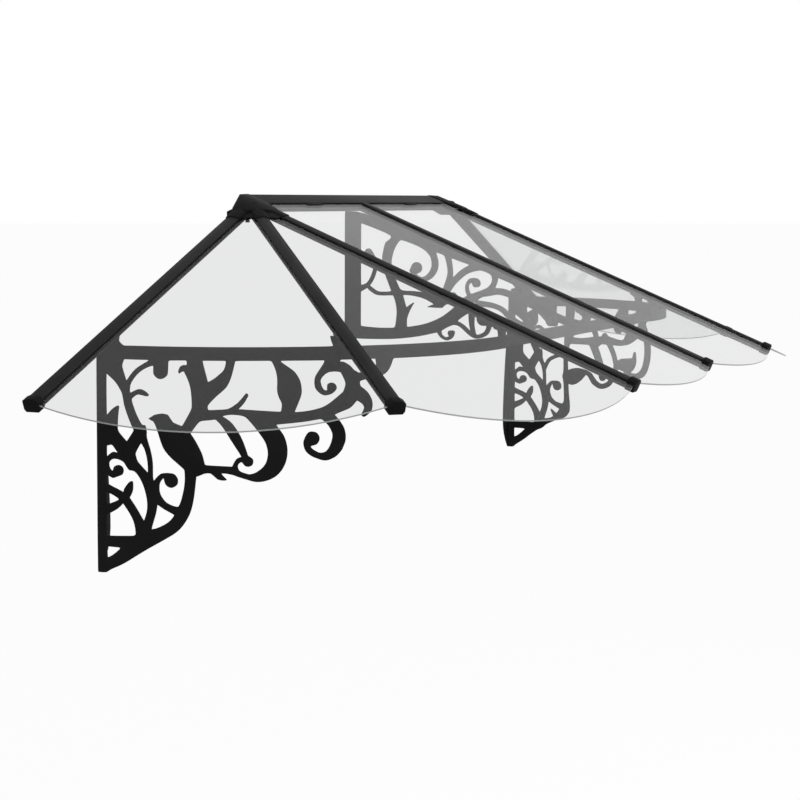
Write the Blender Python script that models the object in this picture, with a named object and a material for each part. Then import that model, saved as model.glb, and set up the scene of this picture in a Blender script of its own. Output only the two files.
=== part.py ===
"""Hipped door canopy: seven glazing bars, six clear panels and three scroll-cut plates.

Frame: X runs along the wall, the wall is the plane Y = 0, the canopy reaches towards -Y,
and Z is up.  The origin is on the wall face, in the middle of the ridge beam, at the height
where the lines of the panels' undersides meet.
"""
import math

import bmesh
import bpy
import numpy as np
from mathutils import Matrix, Vector
from mathutils.geometry import delaunay_2d_cdt

MM = 0.001

# Driving dimensions of the roof
RIDGE_HALF = 0.539          # from the middle to a hub's axis
AXIS_OFFSET = 0.028         # from the wall to the hubs' axes
BAR_RUN = 0.835             # a glazing bar's length in plan, from its hub's axis
BAR_DROP = 0.348            # how far its outer end lies below its hub
HIP_BULGE = 0.098           # how far a hip panel's scallop reaches past its bars' ends
FRONT_BULGE = 0.044         # the same on a front panel
GAP = 0.0003                # between pieces that touch

# Glazing bar: base below the panels, cover above them
BASE_WIDTH = 0.030
BASE_FLANGE = 0.0022
BOX_WIDTH = 0.020
BOX_DEPTH = 0.014
BOX_WALL = 0.0020
PANEL_THICK = 0.003
COVER_WIDTH = 0.032
COVER_CROWN = 0.0012
GASKET_THICK = 0.0015
STEM_WIDTH = 0.003
PANEL_CLEAR = 0.0035        # from a bar's middle to a panel's edge
PANEL_SETBACK = 0.0005      # from a bar's end back to the panels' corners
PANEL_START = 0.0455        # from a hub's axis, down a bar, to a hip panel's upper edge

# End cap
CAP_WIDTH = 0.037
CAP_LENGTH = 0.029
CAP_WALL_UNDER = 0.003
CAP_TOP = 0.0022
CAP_NOSE = 0.0105           # how far it reaches past the bar's end
CAP_CHAMFER = 0.004
CAP_SLOT = 0.0062           # how far its side slots for the panels reach past the bar's end

# Ridge beam and its cover
RIDGE_BELOW = 0.0215
RIDGE_TOP = 0.0156
RIDGE_BOX_DEPTH = 0.024
RIDGE_WALL = 0.003
RIDGE_LIP = 0.014
RIDGE_COVER_REACH = 0.046
RIDGE_COVER_THICK = 0.0022
RIDGE_END = 0.040           # from a hub's axis to the ridge beam's end
CLIP_LENGTH = 0.080
CLIP_PLACE = 0.270

# Hub
HUB_RADIUS = 0.0475
HUB_DEPTH = 0.014
ARM_LENGTH = 0.086
ARM_WIDTH = 0.039
ARM_THICK = 0.0028
WEB_RADIUS = 0.066
WEB_THICK = 0.003
HUB_PEAK = 0.0185
BOSS_RADIUS = 0.0045
BOSS_DEPTH = 0.009

# Scroll-cut plates
RAIL_RADIUS = 0.562         # the bowed plates follow this radius round a hub's axis
RAIL_TOP = -0.264
RAIL_DEPTH = 0.025
LEG_WIDTH = 0.020
FOOT_LEVEL = -0.691
PLATE = 0.004
LAP = 0.045                 # the side plates' straight tails, which the front rail laps
FILLET = 0.0030             # radius-like softness where strokes of the pattern meet
CELL = 0.0022               # pitch of the grid on which a pattern's outline is followed
TOLERANCE = 0.00065         # how far an outline may be straightened
BEND_STEP = math.radians(6.0)
EAR_FOOT = 0.014            # half-widths of the ears that rise from the rail to the bars
EAR_HEAD = 0.022
HORN = 0.006
TAB_LENGTH = 0.024
SCREW_RADIUS = 0.0025
HEAD_RADIUS = 0.0048
HEAD_HEIGHT = 0.003
SCREW_LENGTH = 0.012
FLANGE_WIDTH = 0.040
GUSSET_LEG = 0.040
GUSSET_FLANGE = 0.030
WALL_HOLE = 0.0035

SLOPE = BAR_DROP / BAR_RUN
TILT = math.atan(SLOPE)
BAR_LENGTH = math.hypot(BAR_RUN, BAR_DROP)
SECTOR = math.radians(45.0)
HIP_FALL = SLOPE * math.tan(SECTOR / 2)
HIP_LATERAL = HIP_FALL * math.cos(TILT)
PANEL_TOP = PANEL_THICK / math.cos(math.atan(HIP_LATERAL))
PANEL_RISE = PANEL_THICK / math.cos(math.atan(SLOPE / math.cos(SECTOR / 2)))
BASE_BOTTOM = -BOX_DEPTH
SEAT = -2 * GAP - GASKET_THICK
BAR_START = (HUB_RADIUS + GAP - BASE_BOTTOM * math.sin(TILT)) / math.cos(TILT)
COVER_LOW = PANEL_TOP + GAP
COVER_HIGH = 0.0085

# Colours: base colour, roughness, metallic
FINISHES = {
    "black_coat": ((0.012, 0.012, 0.013, 1.0), 0.45, 0.0),
    "black_moulding": ((0.010, 0.010, 0.011, 1.0), 0.55, 0.0),
    "clear_sheet": ((0.86, 0.88, 0.88, 1.0), 0.08, 0.0),
    "black_rubber": ((0.015, 0.015, 0.015, 1.0), 0.85, 0.0),
    "plated_steel": ((0.08, 0.08, 0.085, 1.0), 0.35, 0.9),
}


def clear_scene():
    for obj in list(bpy.data.objects):
        bpy.data.objects.remove(obj, do_unlink=True)


def finish(name):
    material = bpy.data.materials.get(name)
    if material is None:
        colour, rough, metal = FINISHES[name]
        material = bpy.data.materials.new(name)
        material.use_nodes = True
        shader = material.node_tree.nodes["Principled BSDF"]
        shader.inputs["Base Color"].default_value = colour
        shader.inputs["Roughness"].default_value = rough
        shader.inputs["Metallic"].default_value = metal
        material.diffuse_color = colour
    return material


def add_object(name, bm, finish_name):
    bmesh.ops.recalc_face_normals(bm, faces=bm.faces)
    mesh = bpy.data.meshes.new(name)
    bm.to_mesh(mesh)
    bm.free()
    obj = bpy.data.objects.new(name, mesh)
    bpy.context.scene.collection.objects.link(obj)
    mesh.materials.append(finish(finish_name))
    return obj


def crossings(points, starts, ends):
    """How many outline edges lie to the right of each point."""
    x, y = points[:, :1], points[:, 1:]
    x0, y0, x1, y1 = starts[:, 0], starts[:, 1], ends[:, 0], ends[:, 1]
    spans = (y0 > y) != (y1 > y)
    rise = np.where(y1 == y0, 1.0, y1 - y0)
    return np.sum(spans & (x < x0 + (y - y0) / rise * (x1 - x0)), axis=1)


def prism(loops, low, high, matrix=None):
    """A straight prism from an outline and its holes, given as lists of (x, y)."""
    bm = bmesh.new()
    rings = []
    for level in (low, high):
        rings.append([[bm.verts.new((x, y, level)) for x, y in loop] for loop in loops])
    corners = [Vector(point) for loop in loops for point in loop]
    edges = []
    first = 0
    for loop in loops:
        count = len(loop)
        edges += [(first + i, first + (i + 1) % count) for i in range(count)]
        first += count
    flat = delaunay_2d_cdt(corners, edges, [], 1, 1e-7)
    sources = [origin[0] for origin in flat[3]]
    faces = [[sources[i] for i in face] for face in flat[2]]
    ends = np.array(corners)
    middles = np.array([ends[face].mean(axis=0) for face in faces])
    solid = crossings(middles, ends[[e[0] for e in edges]], ends[[e[1] for e in edges]]) % 2 == 1
    for ring, flip in zip(rings, (True, False)):
        verts = [v for loop in ring for v in loop]
        for face, kept in zip(faces, solid):
            if not kept:
                continue
            order = [verts[i] for i in face]
            if flip:
                order.reverse()
            bm.faces.new(order)
    for lower, upper in zip(rings[0], rings[1]):
        for i in range(len(lower)):
            j = (i + 1) % len(lower)
            bm.faces.new((lower[i], lower[j], upper[j], upper[i]))
    if matrix is not None:
        bm.transform(matrix)
    bmesh.ops.recalc_face_normals(bm, faces=bm.faces)
    return bm


def box(low, high, matrix=None):
    outline = [(low[0], low[1]), (high[0], low[1]), (high[0], high[1]), (low[0], high[1])]
    return prism([outline], low[2], high[2], matrix)


def circle(radius, sides, centre=(0.0, 0.0)):
    steps = [2 * math.pi * i / sides for i in range(sides)]
    return [(centre[0] + radius * math.cos(a), centre[1] + radius * math.sin(a)) for a in steps]


def combine(name, finish_name, solids, cutters=()):
    """One closed solid: the union of solids, less the cutters."""
    body = add_object(name, solids[0], finish_name)
    for operation, parts in (("UNION", solids[1:]), ("DIFFERENCE", cutters)):
        for bm in parts:
            tool = add_object(name + "_tool", bm, finish_name)
            modifier = body.modifiers.new("cut", "BOOLEAN")
            modifier.operation = operation
            modifier.solver = "EXACT"
            modifier.object = tool
            graph = bpy.context.evaluated_depsgraph_get()
            mesh = bpy.data.meshes.new_from_object(body.evaluated_get(graph))
            body.modifiers.clear()
            old = body.data
            body.data = mesh
            bpy.data.meshes.remove(old)
            bpy.data.objects.remove(tool, do_unlink=True)
    body.data.name = name
    body.data.materials.clear()
    body.data.materials.append(finish(finish_name))
    return body


def tidy(obj, distance=0.00001):
    """Merge the doubles and drop the slivers that a boolean leaves."""
    bm = bmesh.new()
    bm.from_mesh(obj.data)
    bmesh.ops.remove_doubles(bm, verts=bm.verts, dist=distance)
    loose = [edge for edge in bm.edges if not edge.link_faces]
    bmesh.ops.delete(bm, geom=loose, context="EDGES")
    bmesh.ops.triangulate(bm, faces=bm.faces)
    bm.to_mesh(obj.data)
    bm.free()
    return obj


# Places of the bars

def direction(angle):
    """Along a bar, down its slope."""
    return Vector((math.cos(angle) * math.cos(TILT), math.sin(angle) * math.cos(TILT), -math.sin(TILT)))


def bar_matrix(hub_x, angle):
    """Bar frame: x down the slope, y level across the bar, z square to its top."""
    along = direction(angle)
    across = Vector((-math.sin(angle), math.cos(angle), 0.0))
    upward = along.cross(across)
    matrix = Matrix((along, across, upward)).transposed().to_4x4()
    matrix.translation = (hub_x, -AXIS_OFFSET, 0.0)
    return matrix


WALL = None
FLAT = 0.0
HIP = HIP_LATERAL
# name: hub x, direction in plan, fall of the panels on the two sides of the bar
BARS = {
    "a": (-RIDGE_HALF, math.radians(180), (WALL, HIP)),
    "b": (-RIDGE_HALF, math.radians(225), (HIP, HIP)),
    "c": (-RIDGE_HALF, math.radians(270), (HIP, FLAT)),
    "d": (0.0, math.radians(270), (FLAT, FLAT)),
    "e": (RIDGE_HALF, math.radians(270), (FLAT, HIP)),
    "f": (RIDGE_HALF, math.radians(315), (HIP, HIP)),
    "g": (RIDGE_HALF, math.radians(360), (HIP, WALL)),
}


def side_points(level, falls, places):
    """Points of a bar's section at distances from its middle, lowered by the panels' fall."""
    points = []
    for place in places:
        fall = falls[0] if place < 0 else falls[1]
        points.append((place, level - abs(place) * (fall or 0.0)))
    return points


def base_section(falls):
    half, box_half = BASE_WIDTH / 2, BOX_WIDTH / 2
    top = side_points(SEAT, falls, (-half, 0.0, half))
    under = side_points(SEAT - BASE_FLANGE, falls, (half, box_half))
    under_left = side_points(SEAT - BASE_FLANGE, falls, (-box_half, -half))
    outer = top + under + [(box_half, BASE_BOTTOM), (-box_half, BASE_BOTTOM)] + under_left
    inner_half = box_half - BOX_WALL
    roof = SEAT - BASE_FLANGE - max(falls[0] or 0.0, falls[1] or 0.0) * box_half
    floor = BASE_BOTTOM + BOX_WALL
    inner = [(-inner_half, roof), (inner_half, roof), (inner_half, floor), (-inner_half, floor)]
    return [outer, inner]


def cover_section(falls):
    half, stem = COVER_WIDTH / 2, STEM_WIDTH / 2
    top = side_points(COVER_HIGH, falls, (-half + MM, half - MM))
    outer = [top[0], (0.0, COVER_HIGH + COVER_CROWN), top[1]]
    outer += side_points(COVER_HIGH - 1.2 * MM, falls, (half,))
    outer += side_points(COVER_LOW, falls, (half, stem))
    outer += [(stem, 0.0), (-stem, 0.0)]
    outer += side_points(COVER_LOW, falls, (-stem, -half))
    outer += side_points(COVER_HIGH - 1.2 * MM, falls, (-half,))
    return [outer]


def section_to_bar(section):
    """The prism's x, y, z become the bar's y, z, x."""
    return Matrix(((0, 0, 1, 0), (1, 0, 0, 0), (0, 1, 0, 0), (0, 0, 0, 1)))


def along_bar(section, start, end, matrix):
    return prism(section, start, end, matrix @ section_to_bar(section))


def tab_end():
    """Distance down the bar to a tab's outer end, inside the ear's thickness."""
    return (RAIL_RADIUS + PLATE / 4 - (BASE_BOTTOM - PLATE / 2) * math.sin(TILT)) / math.cos(TILT)


def screw_place():
    """Distance down the bar to the ear's screw."""
    return tab_end() - TAB_LENGTH * 0.6


def bar_start(name):
    if name == "d":
        reach = RIDGE_BOX_DEPTH + RIDGE_LIP - AXIS_OFFSET
        return (reach + (BASE_FLANGE + GAP) * math.sin(TILT) + 2 * GAP) / math.cos(TILT)
    return BAR_START


def cover_start(name):
    if name == "d":
        reach = RIDGE_COVER_REACH - AXIS_OFFSET
        return (reach - PANEL_THICK * math.sin(TILT) + 2 * GAP) / math.cos(TILT)
    return BAR_START + 2 * MM


def make_bars():
    hole = circle(SCREW_RADIUS + GAP, 12)
    for name, (hub_x, angle, falls) in BARS.items():
        matrix = bar_matrix(hub_x, angle)
        start = bar_start(name)
        drill = prism([hole], BASE_BOTTOM - MM, BASE_BOTTOM + BOX_WALL + MM,
                      matrix @ Matrix.Translation((screw_place(), 0, 0)))
        base = along_bar(base_section(falls), start, BAR_LENGTH, matrix)
        tidy(combine("bar_base_" + name, "black_coat", [base], [drill]))
        cover = along_bar(cover_section(falls), cover_start(name), BAR_LENGTH, matrix)
        add_object("bar_cover_" + name, cover, "black_coat")
        make_gasket(name, matrix, falls)
        make_cap(name, matrix, falls)


def make_gasket(name, matrix, falls):
    """Soft strip between the bar's seat and the panels."""
    half = BASE_WIDTH / 2 - 0.5 * MM
    top = side_points(-GAP, falls, (-half, 0.0, half))
    under = side_points(-GAP - GASKET_THICK, falls, (half, 0.0, -half))
    start = cover_start(name) + MM
    strip = along_bar([top + under], start, BAR_LENGTH, matrix)
    add_object("gasket_" + name, strip, "black_rubber")


def make_cap(name, matrix, falls):
    """Moulded cap that sleeves the bar's end, with a roof-shaped top and a chamfered nose."""
    half = CAP_WIDTH / 2
    low = BASE_BOTTOM - CAP_WALL_UNDER
    eave = COVER_HIGH - half * HIP_LATERAL * 0.5
    peak = COVER_HIGH + COVER_CROWN + CAP_TOP
    outline = [(-half, low + CAP_CHAMFER), (-half + CAP_CHAMFER, low), (half - CAP_CHAMFER, low),
               (half, low + CAP_CHAMFER), (half, eave), (half * 0.45, peak), (-half * 0.45, peak),
               (-half, eave)]
    start = BAR_LENGTH + CAP_NOSE - CAP_LENGTH
    nose = BAR_LENGTH + CAP_NOSE
    body = bmesh.new()
    centre = (low + peak) / 2
    rings = []
    for place, shrink in ((start, 1.0), (nose - CAP_CHAMFER, 1.0), (nose, 0.80)):
        rings.append([body.verts.new((place, y * shrink, centre + (z - centre) * shrink))
                      for y, z in outline])
    count = len(outline)
    for first, second in zip(rings, rings[1:]):
        for i in range(count):
            j = (i + 1) % count
            body.faces.new((first[i], first[j], second[j], second[i]))
    body.faces.new(rings[0])
    body.faces.new(list(reversed(rings[-1])))
    body.transform(matrix)
    bmesh.ops.recalc_face_normals(body, faces=body.faces)
    clear = 2 * GAP
    pocket_half = max(BASE_WIDTH, COVER_WIDTH) / 2 + GAP
    pocket = prism([[(-pocket_half, BASE_BOTTOM - GAP), (pocket_half, BASE_BOTTOM - GAP),
                     (pocket_half, COVER_HIGH + GAP - pocket_half * min(falls[1] or 0.0, FLAT)),
                     (0.0, COVER_HIGH + COVER_CROWN + GAP), (-pocket_half, COVER_HIGH + GAP)]],
                   start - MM, BAR_LENGTH + clear, matrix @ section_to_bar(None))
    cutters = [pocket]
    for across, fall in zip((-1, 1), falls):
        if fall is WALL:
            continue
        near, far = PANEL_CLEAR - MM, half + MM
        slot = [(across * near, -GAP - near * fall), (across * far, -GAP - far * fall),
                (across * far, PANEL_TOP + GAP - far * fall), (across * near, PANEL_TOP + GAP - near * fall)]
        cutters.append(along_bar([slot], start - MM, BAR_LENGTH + CAP_SLOT, matrix))
    tidy(combine("end_cap_" + name, "black_moulding", [body], cutters))


# Panels

def hub_point(hub_x, angle, distance):
    return Vector((hub_x, -AXIS_OFFSET, 0.0)) + direction(angle) * distance


def panel_frame(origin, first, second):
    """Panel frame: x towards the second bar, y down the slope, z up through the sheet."""
    across = (second - first).normalized()
    upward = across.cross((first + second) / 2 - origin).normalized()
    if upward.z < 0:
        upward.negate()
    down = upward.cross(across)
    if down.z > 0:
        down.negate()
    matrix = Matrix((across, down, across.cross(down))).transposed().to_4x4()
    matrix.translation = (first + second) / 2
    return matrix


def scallop(half, bulge, steps):
    """The free edge, from one bar's corner to the other's, as an arc of a circle."""
    radius = (half ** 2 + bulge ** 2) / (2 * bulge)
    reach = math.asin(half / radius)
    turns = [reach * (2 * i / steps - 1) for i in range(steps + 1)]
    return [(radius * math.sin(t), radius * (math.cos(t) - 1) + bulge) for t in turns]


def add_panel(name, matrix, outline):
    low, high = (0.0, PANEL_THICK) if matrix.to_3x3().col[2].z > 0 else (-PANEL_THICK, 0.0)
    add_object(name, prism([outline], low, high, matrix), "clear_sheet")


def make_panels():
    end = BAR_LENGTH - PANEL_SETBACK
    half_angle = math.asin(math.sin(SECTOR / 2) * math.cos(TILT))
    start = PANEL_START
    for name, hub_x, low_angle in (("ab", -RIDGE_HALF, 180), ("bc", -RIDGE_HALF, 225),
                                   ("ef", RIDGE_HALF, 270), ("fg", RIDGE_HALF, 315)):
        first = hub_point(hub_x, math.radians(low_angle), end)
        second = hub_point(hub_x, math.radians(low_angle) + SECTOR, end)
        matrix = panel_frame(Vector((hub_x, -AXIS_OFFSET, 0.0)), first, second)
        half = (second - first).length / 2
        depth = end * math.cos(half_angle)
        inset = PANEL_CLEAR / math.cos(half_angle)
        arc = scallop(half - inset, HIP_BULGE, 22)
        narrow = start * math.sin(half_angle) - inset
        outline = [(-narrow, start * math.cos(half_angle) - depth)] + arc
        outline += [(narrow, start * math.cos(half_angle) - depth)]
        add_panel("panel_" + name, matrix, outline)
    top = (RIDGE_BOX_DEPTH + 6 * MM - AXIS_OFFSET) / math.cos(TILT)
    for name, left, right in (("cd", -RIDGE_HALF, 0.0), ("de", 0.0, RIDGE_HALF)):
        first = hub_point(left, math.radians(270), end)
        second = hub_point(right, math.radians(270), end)
        matrix = panel_frame(Vector(((left + right) / 2, -AXIS_OFFSET, 0.0)), first, second)
        half = (second - first).length / 2 - PANEL_CLEAR
        arc = scallop(half, FRONT_BULGE, 20)
        low = HUB_RADIUS + 3 * MM - end
        high = top - end
        hub_clear = RIDGE_END + 2 * MM - PANEL_CLEAR
        outline = [(-half, low), *arc, (half, low)]
        if left < 0:
            outline = [(-half + hub_clear, high), (-half + hub_clear, low), *outline[0:1], *arc,
                       (half, high)]
        else:
            outline = [(-half, high), *arc, (half, low), (half - hub_clear, low),
                       (half - hub_clear, high)]
        add_panel("panel_" + name, matrix, outline)


# Ridge

def wall_section_matrix():
    """The prism's x, y, z become distance from the wall, height and X."""
    return Matrix(((0, 0, 1, 0), (-1, 0, 0, 0), (0, 1, 0, 0), (0, 0, 0, 1)))


def seat_level(distance):
    """Height of the front panels' underside at a distance from the wall."""
    return -SLOPE * (distance - AXIS_OFFSET)


def ridge_section():
    depth, lip = RIDGE_BOX_DEPTH, RIDGE_BOX_DEPTH + RIDGE_LIP
    drop = 2.5 * MM
    outer = [(0.0, -RIDGE_BELOW), (depth, -RIDGE_BELOW), (depth, seat_level(depth) - drop - GAP),
             (lip, seat_level(lip) - drop - GAP), (lip, seat_level(lip) - GAP),
             (depth, seat_level(depth) - GAP), (RIDGE_WALL, seat_level(depth) - GAP),
             (RIDGE_WALL, RIDGE_TOP - RIDGE_COVER_THICK - 1.5 * MM),
             (0.0, RIDGE_TOP - RIDGE_COVER_THICK - 1.5 * MM)]
    wall = RIDGE_WALL
    inner = [(wall, -RIDGE_BELOW + wall), (depth - wall, -RIDGE_BELOW + wall),
             (depth - wall, seat_level(depth) - drop - GAP), (wall, seat_level(depth) - drop - GAP)]
    return [outer, inner]


def ridge_cover_section(proud=0.0):
    reach, thick = RIDGE_COVER_REACH, RIDGE_COVER_THICK + proud
    tip = seat_level(reach) + (PANEL_THICK + MM) / math.cos(TILT)
    return [[(0.0, RIDGE_TOP - RIDGE_COVER_THICK), (4 * MM, RIDGE_TOP - RIDGE_COVER_THICK),
             (reach - 2 * MM, tip + 1.5 * MM), (reach - 2 * MM, tip - 0.6 * MM + 2 * MM * SLOPE),
             (reach, tip - 0.6 * MM),
             (reach + proud, tip + thick), (4.5 * MM, RIDGE_TOP + proud), (0.0, RIDGE_TOP + proud)]]


def make_ridge():
    half = RIDGE_HALF - RIDGE_END
    matrix = wall_section_matrix()
    add_object("ridge_beam", prism(ridge_section(), -half, half, matrix), "black_coat")
    add_object("ridge_cover", prism(ridge_cover_section(), -half, half, matrix), "black_coat")
    depth = RIDGE_BOX_DEPTH + RIDGE_LIP
    for name, side in (("left", -1), ("right", 1)):
        middle = side * CLIP_PLACE
        top = seat_level(depth) - 2.5 * MM - 2 * GAP
        slope = SLOPE * 10 * MM
        section = [[(depth - 12 * MM, top + slope * 1.2), (depth, top), (depth, top - 5 * MM),
                    (depth - 12 * MM, top - 3 * MM)]]
        clip = prism(section, middle - CLIP_LENGTH / 2, middle + CLIP_LENGTH / 2, matrix)
        add_object("ridge_clip_" + name, clip, "black_moulding")


# Hubs

def fan_points(radius, width, rise, wall):
    """Corners of a left hub in plan, from the wall round bars a, b and c to the ridge side."""
    half = width / 2
    low = rise - SLOPE * radius
    diagonal = math.sqrt(0.5)
    corners = [(-radius, wall, low), (-radius, 0.0, low), (-radius, -half, low - half * HIP_FALL)]
    for side in (-half, 0.0, half):
        x = -radius * diagonal + side * diagonal
        y = -radius * diagonal - side * diagonal
        corners.append((x, y, low - abs(side) * HIP_FALL))
    corners += [(-half, -radius, low - half * HIP_FALL), (0.0, -radius, low), (half, -radius, low)]
    return corners


def fan(corners, peak, low_peak, depth):
    """A solid with a peaked top over the corners and a flat-sided skirt below it."""
    bm = bmesh.new()
    top = [bm.verts.new(c) for c in corners]
    low = [bm.verts.new((c[0], c[1], c[2] - depth)) for c in corners]
    high_middle = bm.verts.new(peak)
    low_middle = bm.verts.new(low_peak)
    count = len(corners)
    for i in range(count):
        j = (i + 1) % count
        bm.faces.new((top[i], top[j], high_middle))
        bm.faces.new((low[j], low[i], low_middle))
        bm.faces.new((top[i], low[i], low[j], top[j]))
    bmesh.ops.recalc_face_normals(bm, faces=bm.faces)
    return bm


def make_hub(side_name, side):
    radius = HUB_RADIUS - GAP
    ridge_side = RIDGE_END - GAP
    corners = fan_points(radius, BASE_WIDTH, -GAP, AXIS_OFFSET)
    corners += [(ridge_side, -RIDGE_LIP, -GAP - SLOPE * RIDGE_LIP), (ridge_side, AXIS_OFFSET, -GAP)]
    body = fan(corners, (0.0, 0.0, -GAP), (0.0, 0.0, -GAP - HUB_DEPTH), HUB_DEPTH)
    bosses = []
    for angle in (202.5, 247.5):
        place = (HUB_RADIUS - 2 * BOSS_RADIUS, math.radians(angle))
        centre = (place[0] * math.cos(place[1]), place[0] * math.sin(place[1]))
        low = -SLOPE * radius - HUB_DEPTH - BOSS_DEPTH
        bosses.append(prism([circle(BOSS_RADIUS, 12, centre)], low, -SLOPE * radius - HUB_DEPTH / 2))
    base = combine("hub_base_" + side_name, "black_moulding", [body] + bosses)
    place_hub(base, side)
    make_hub_cover(side_name, side)


def place_hub(obj, side):
    """Hubs are modelled for the left end; the right one is its mirror image."""
    tidy(obj)
    bm = bmesh.new()
    bm.from_mesh(obj.data)
    if side > 0:
        bm.transform(Matrix.Scale(-1, 4, (1, 0, 0)))
    bm.transform(Matrix.Translation((side * RIDGE_HALF, -AXIS_OFFSET, 0)))
    bmesh.ops.recalc_face_normals(bm, faces=bm.faces)
    bm.to_mesh(obj.data)
    bm.free()


def make_hub_cover(side_name, side):
    """Moulded cover: three arms over the bars, webs between them and a foot on the hub base."""
    rise = PANEL_RISE + 2 * GAP
    wall = AXIS_OFFSET
    half = ARM_WIDTH / 2
    foot_radius = PANEL_START * math.cos(TILT) - 8 * MM
    foot = fan_points(foot_radius, BASE_WIDTH - 2 * MM, rise + MM, wall - 0.4 * MM)
    foot += [(half - 2 * MM, 0.0, rise + MM), (half - 2 * MM, wall - 0.4 * MM, rise + MM)]
    web = fan_points(WEB_RADIUS, ARM_WIDTH, rise + WEB_THICK, wall - 0.2 * MM)
    web += [(half, 0.0, rise + WEB_THICK), (half, wall - 0.2 * MM, rise + WEB_THICK)]
    solids = [fan(web, (0.0, 0.0, rise + WEB_THICK), (0.0, 0.0, rise), WEB_THICK),
              fan(foot, (0.0, 0.0, rise + MM), (0.0, 0.0, 0.0), rise + MM)]
    cutters = []
    peak = COVER_HIGH + COVER_CROWN + GAP
    for angle, falls in ((180, (WALL, HIP)), (225, (HIP, HIP)), (270, (HIP, FLAT))):
        matrix = bar_matrix(0.0, math.radians(angle))
        matrix.translation = (0.0, 0.0, 0.0)
        left, right = (falls[0] or 0.0), (falls[1] or 0.0)
        low = PANEL_TOP + 2 * GAP
        high = peak + ARM_THICK
        outline = [(-half, low - half * left), (0.0, low), (half, low - half * right),
                   (half, high - ARM_THICK * 0.6 - half * right), (half * 0.6, high), (-half * 0.6, high),
                   (-half, high - ARM_THICK * 0.6 - half * left)]
        solids.append(along_bar([outline], 3 * MM, ARM_LENGTH, matrix))
        inner = COVER_WIDTH / 2 + 2 * GAP
        groove = [(-inner, -10 * MM), (inner, -10 * MM), (inner, peak - inner * right),
                  (0.0, peak + GAP), (-inner, peak - inner * left)]
        cutters.append(along_bar([groove], BAR_START + MM, ARM_LENGTH + MM, matrix))
    end = RIDGE_END - GAP
    back = fan([(-18 * MM, wall, HUB_PEAK), (-18 * MM, -10 * MM, HUB_PEAK - 9 * MM),
                (end, -10 * MM, HUB_PEAK - 12 * MM), (end, wall, RIDGE_TOP)],
               (8 * MM, wall / 2, HUB_PEAK - 2 * MM), (8 * MM, wall / 3, rise + 0.5 * MM), 9 * MM)
    solids.append(back)
    cover = combine("hub_cover_" + side_name, "black_moulding", solids, cutters)
    place_hub(cover, side)


# Scroll-cut plates: each pattern is a set of strokes, drawn flat in millimetres.
# A stroke is a smooth line through its points (x, height), with its full width at each.

SHARED_STROKES = [
    # stem that crosses the lower opening, with its two leaves
    ([(96, -622), (86, -588), (63, -554), (40, -538), (8, -528)], [28, 18, 16, 14, 14]),
    ([(61, -548), (66, -534), (72, -519)], [8, 17, 7]),
    ([(54, -552), (40, -563), (12, -575)], [7, 15, 16]),
    # large arc from the trunk to the foot, and its curl against the leg
    ([(34, -469), (54, -472), (78, -484), (98, -504), (112, -532), (114, -565), (102, -606)],
     [11, 12, 15, 18, 22, 18, 17]),
    ([(36, -469), (22, -479), (22, -497), (35, -506), (47, -501)], [11, 9, 11, 11, 11]),
    ([(45, -497), (46, -497)], [20, 20]),
    # trunk that forks towards the leg and towards the upper stem
    ([(74, -484), (64, -464), (40, -438), (22, -418)], [24, 28, 26, 36]),
    ([(22, -430), (31, -405), (39, -387), (46, -377)], [42, 27, 14, 3]),
    ([(64, -466), (80, -440), (92, -424)], [26, 24, 24]),
    ([(92, -430), (98, -414)], [16, 8]),
    ([(97, -436), (106, -456), (111, -482), (111, -508), (114, -530)], [13, 10, 9, 9, 14]),
    # upper stem, up to the rail beside the leg
    ([(92, -424), (78, -400), (67, -372), (61, -348), (48, -322), (34, -300), (30, -280)],
     [20, 17, 16, 15, 24, 40, 60]),
    ([(63, -352), (69, -330), (86, -310), (106, -298), (128, -289)], [11, 9, 9, 10, 14]),
    ([(66, -363), (79, -352), (93, -349), (105, -354)], [10, 9, 10, 6]),
    # hanging drop
    ([(134, -286), (132, -310)], [26, 28]),
    # ball-ended curl beside the lower trunk
    ([(152, -505), (137, -502), (125, -513), (121, -532), (130, -551), (148, -563), (172, -570)],
     [14, 9, 11, 15, 14, 13, 18]),
    ([(151, -511), (152, -512)], [25, 25]),
]

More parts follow.
